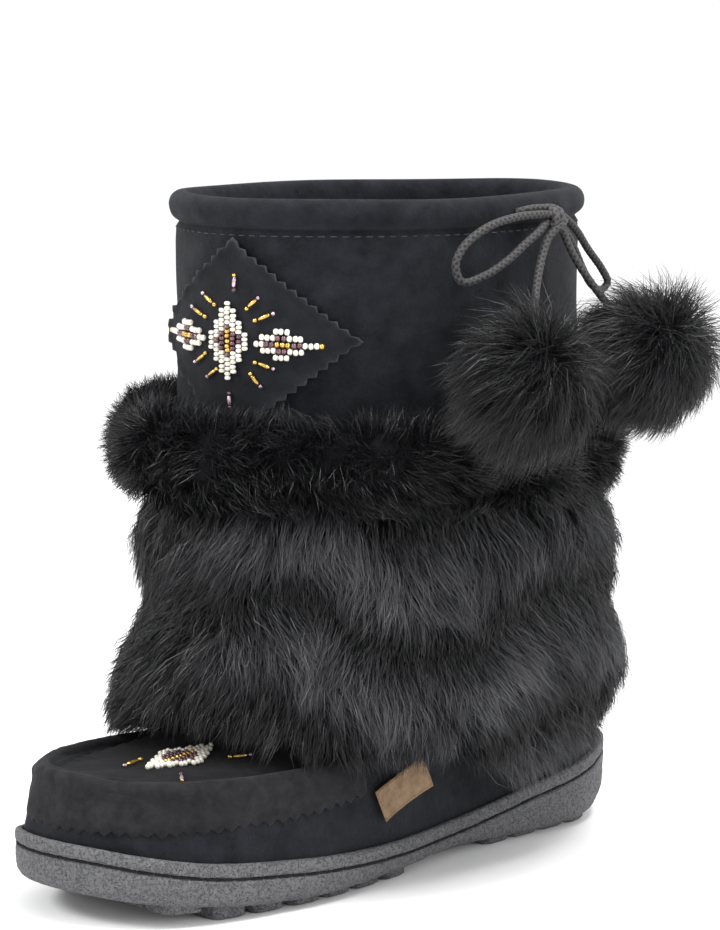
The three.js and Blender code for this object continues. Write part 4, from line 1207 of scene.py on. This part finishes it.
def roll_lean(turn):
    """The roll is fuller over the toe: its reach is scaled by 0.89 - 0.26·cos(turn)."""
    return 0.89 - 0.26 * np.cos(turn)


def on_roll(turn, section, inside):
    """Point of the roll's section, that much inside its skin."""
    out = ROLL["out"] + (ROLL["across"] - inside) * np.cos(section)
    z = ROLL["z"] + (ROLL["tall"] - inside) * np.sin(section) + 2.0 * np.cos(turn - TOE_SIDE)
    return leg_oval(turn, z, out * roll_lean(turn))


def make_roll():
    """Fur roll round the leg: a dark padded ring, with hair standing out of it all round its section."""
    turn = np.linspace(0, 2 * np.pi, 240, endpoint=False)[None]
    section = np.linspace(0, 2 * np.pi, 24, endpoint=False)[:, None]
    ring = on_roll(turn, section, 0)
    ring = ring + oval_out(turn) * (1.2 * unevenness(ring, 15, 101))[..., None]
    stands_for(
        piece("fur_roll", ring, [cells(*ring.shape[:2], wrap_rows=True, wrap_columns=True)], UNDERFUR),
        "pelt", "fur_trim",
    )
    rng = np.random.default_rng(102)
    count, each = TUFTS["roll"], HAIRS_IN_TUFT
    turn = rng.uniform(0, 2 * np.pi, count)
    section = np.radians(rng.uniform(-80, 125, count))
    root = on_roll(turn, section, 2)
    round_leg = oval_out(turn)
    up = np.array([0, 0, 1.0])
    out = unit(round_leg * np.cos(section)[:, None] * 1.5 + up * np.sin(section)[:, None])
    aside = np.cross(up, round_leg)
    sweep = 1.0 * unevenness(root, 40, 103) + 0.4 * unevenness(root, 15, 105)
    comb = aside * sweep[:, None] + up * (0.15 - 0.7 * np.cos(section))[:, None] * 0.8
    length = rng.uniform(9.5, 14.5, count)
    start, bow, tip, facing = tufts(rng, root, out, comb * 0.95, length, 0.95, each, 2.0, 0.62, 0.18)
    # Painted highlight on the upper side of the roll's section, weaker at the outer front.
    painted_top_highlight = 0.26 - 0.17 * np.exp(-(((turn - 2.0) / 0.9) ** 2))
    tone = 0.03 + 0.06 * unevenness(root, 10, 104) + painted_top_highlight * ease(section, 0.4, 1.6)
    tone = np.repeat(np.clip(tone, 0.01, 1), each)
    tone = tone * rng.uniform(0.5, 1.2, len(tone))
    hairs("fur_roll_hair", start, bow, tip, facing, rng.uniform(0.21, 0.37, len(tone)), tone)


def make_pompom(place, centre, radius, shift, seed, pale):
    """Pompom: a dark core, and hair combed from its crown over the ball: lie = 1.25·(away from the crown) +
    a droop + a swirl, less near the crown; pale is the shade of its darkest hair, and holds painted light:
    the rear pompom's hair is set paler than the front one's."""
    rng = np.random.default_rng(seed)
    centre = np.array(centre, float)
    polar = np.linspace(0, np.pi, 22)[:, None]
    turn = np.linspace(0, 2 * np.pi, 36, endpoint=False)[None]
    ball = np.stack(np.broadcast_arrays(
        np.sin(polar) * np.cos(turn), np.sin(polar) * np.sin(turn), np.cos(polar),
    ), -1)
    core = centre + ball * (radius * 0.62 + 1.2 * unevenness(ball * 20, 14, seed))[..., None]
    core[0], core[-1] = core[0].mean(0), core[-1].mean(0)
    points, faces = welded(core.reshape(-1, 3), [cells(*core.shape[:2], wrap_columns=True)])
    body = stands_for(piece("pompom_core_" + place, points, faces, UNDERFUR), "pelt", "pompom_" + place)
    count, each = TUFTS["pompom"], HAIRS_IN_TUFT
    out = unit(rng.normal(size=(count, 3)))
    crown_way = unit(np.array([0.73, -0.21, 0.65]))
    away = unit(out * (out @ crown_way)[:, None] - crown_way + rng.normal(0, 0.05, (count, 3)))
    swirl = 0.55 * unevenness(out * 30, 34, seed + 1) + 0.3 * unevenness(out * 30, 14, seed + 3)
    away = 1.25 * away + np.array([-0.28, -0.24, -0.5]) + np.cross(out, crown_way) * swirl[:, None]
    near_crown = ease(out @ crown_way, 0.8, 1.0)
    lie = away * (1.0 - 0.6 * near_crown)[:, None]
    root = centre + np.array(shift) + out * radius * 0.55
    length = rng.uniform(0.7, 1.1, count) * radius * (1 + 0.16 * unevenness(out * 30, 26, seed + 4))
    lift = 0.75 + 0.3 * unevenness(out * 30, 12, seed + 5)
    start, bow, tip, facing = tufts(rng, root, out, lie, length, lift, each, 2.6, 0.8, 0.16)
    tone = np.repeat(np.clip(pale + 0.11 * unevenness(out * 26, 16, seed + 2), 0.01, 1), each)
    tone = tone * rng.uniform(0.4, 1.3, len(tone))
    hair = hairs("pompom_hair_" + place, start, bow, tip, facing, rng.uniform(0.2, 0.35, len(tone)), tone)
    return body, hair


make_pelt_hide()
make_pelt_hair()
make_roll()
# Painted light: the rear pompom's hair is given a paler tone (0.09) than the front one's (0.03).
front_ball = make_pompom("front", *POMPOMS["front"], (-1.5, -1.5, 0), 111, 0.03)
rear_ball = make_pompom("rear", *POMPOMS["rear"], (0.5, 0.5, 0), 121, 0.09)


# ---------------------------------------------------------------- studio
def make_floor():
    """Plain pale floor, 8 m square."""
    material, tree, shader, place = nodes_of("pale_floor")
    tree.links.new(blend(tree, noise(tree, place, 60, 3), 0.3, 0.7, (0.92, 0.92, 0.92), (0.94, 0.94, 0.94)),
                   shader.inputs["Base Color"])
    set_shine(shader, 0.75, 0.2)
    mesh = bpy.data.meshes.new("floor")
    size = 4.0
    corners = [(-size, -size, 0), (size, -size, 0), (size, size, 0), (-size, size, 0)]
    mesh.from_pydata(corners, [], [(0, 1, 2, 3)])
    mesh.materials.append(material)
    floor = bpy.data.objects.new("floor", mesh)
    bpy.context.scene.collection.objects.link(floor)


def area_light(name, place, aim, size, power):
    """Round soft light at a place, turned to its aim; metres and watts."""
    light = bpy.data.lights.new(name, "AREA")
    light.shape = "DISK"
    light.size = size
    light.energy = power
    made = bpy.data.objects.new(name, light)
    made.location = place
    made.rotation_mode = "QUATERNION"
    made.rotation_quaternion = (Vector(aim) - Vector(place)).to_track_quat("-Z", "Y")
    bpy.context.scene.collection.objects.link(made)


def light_studio():
    """Even white surroundings and three soft lights."""
    world = bpy.data.worlds.new("studio")
    world.use_nodes = True
    world.node_tree.nodes["Background"].inputs["Color"].default_value = (1, 1, 1, 1)
    world.node_tree.nodes["Background"].inputs["Strength"].default_value = 1.08
    bpy.context.scene.world = world
    bpy.context.scene.view_settings.view_transform = "Standard"
    area_light("key", (-0.9, -1.5, 1.5), (0, 0, 0.12), 0.7, 30)
    area_light("top", (0.5, 0.1, 1.7), (0, 0, 0.15), 0.7, 30)
    area_light("side", (1.7, 0.3, 0.6), (0, 0, 0.12), 0.8, 10)


make_floor()
light_studio()
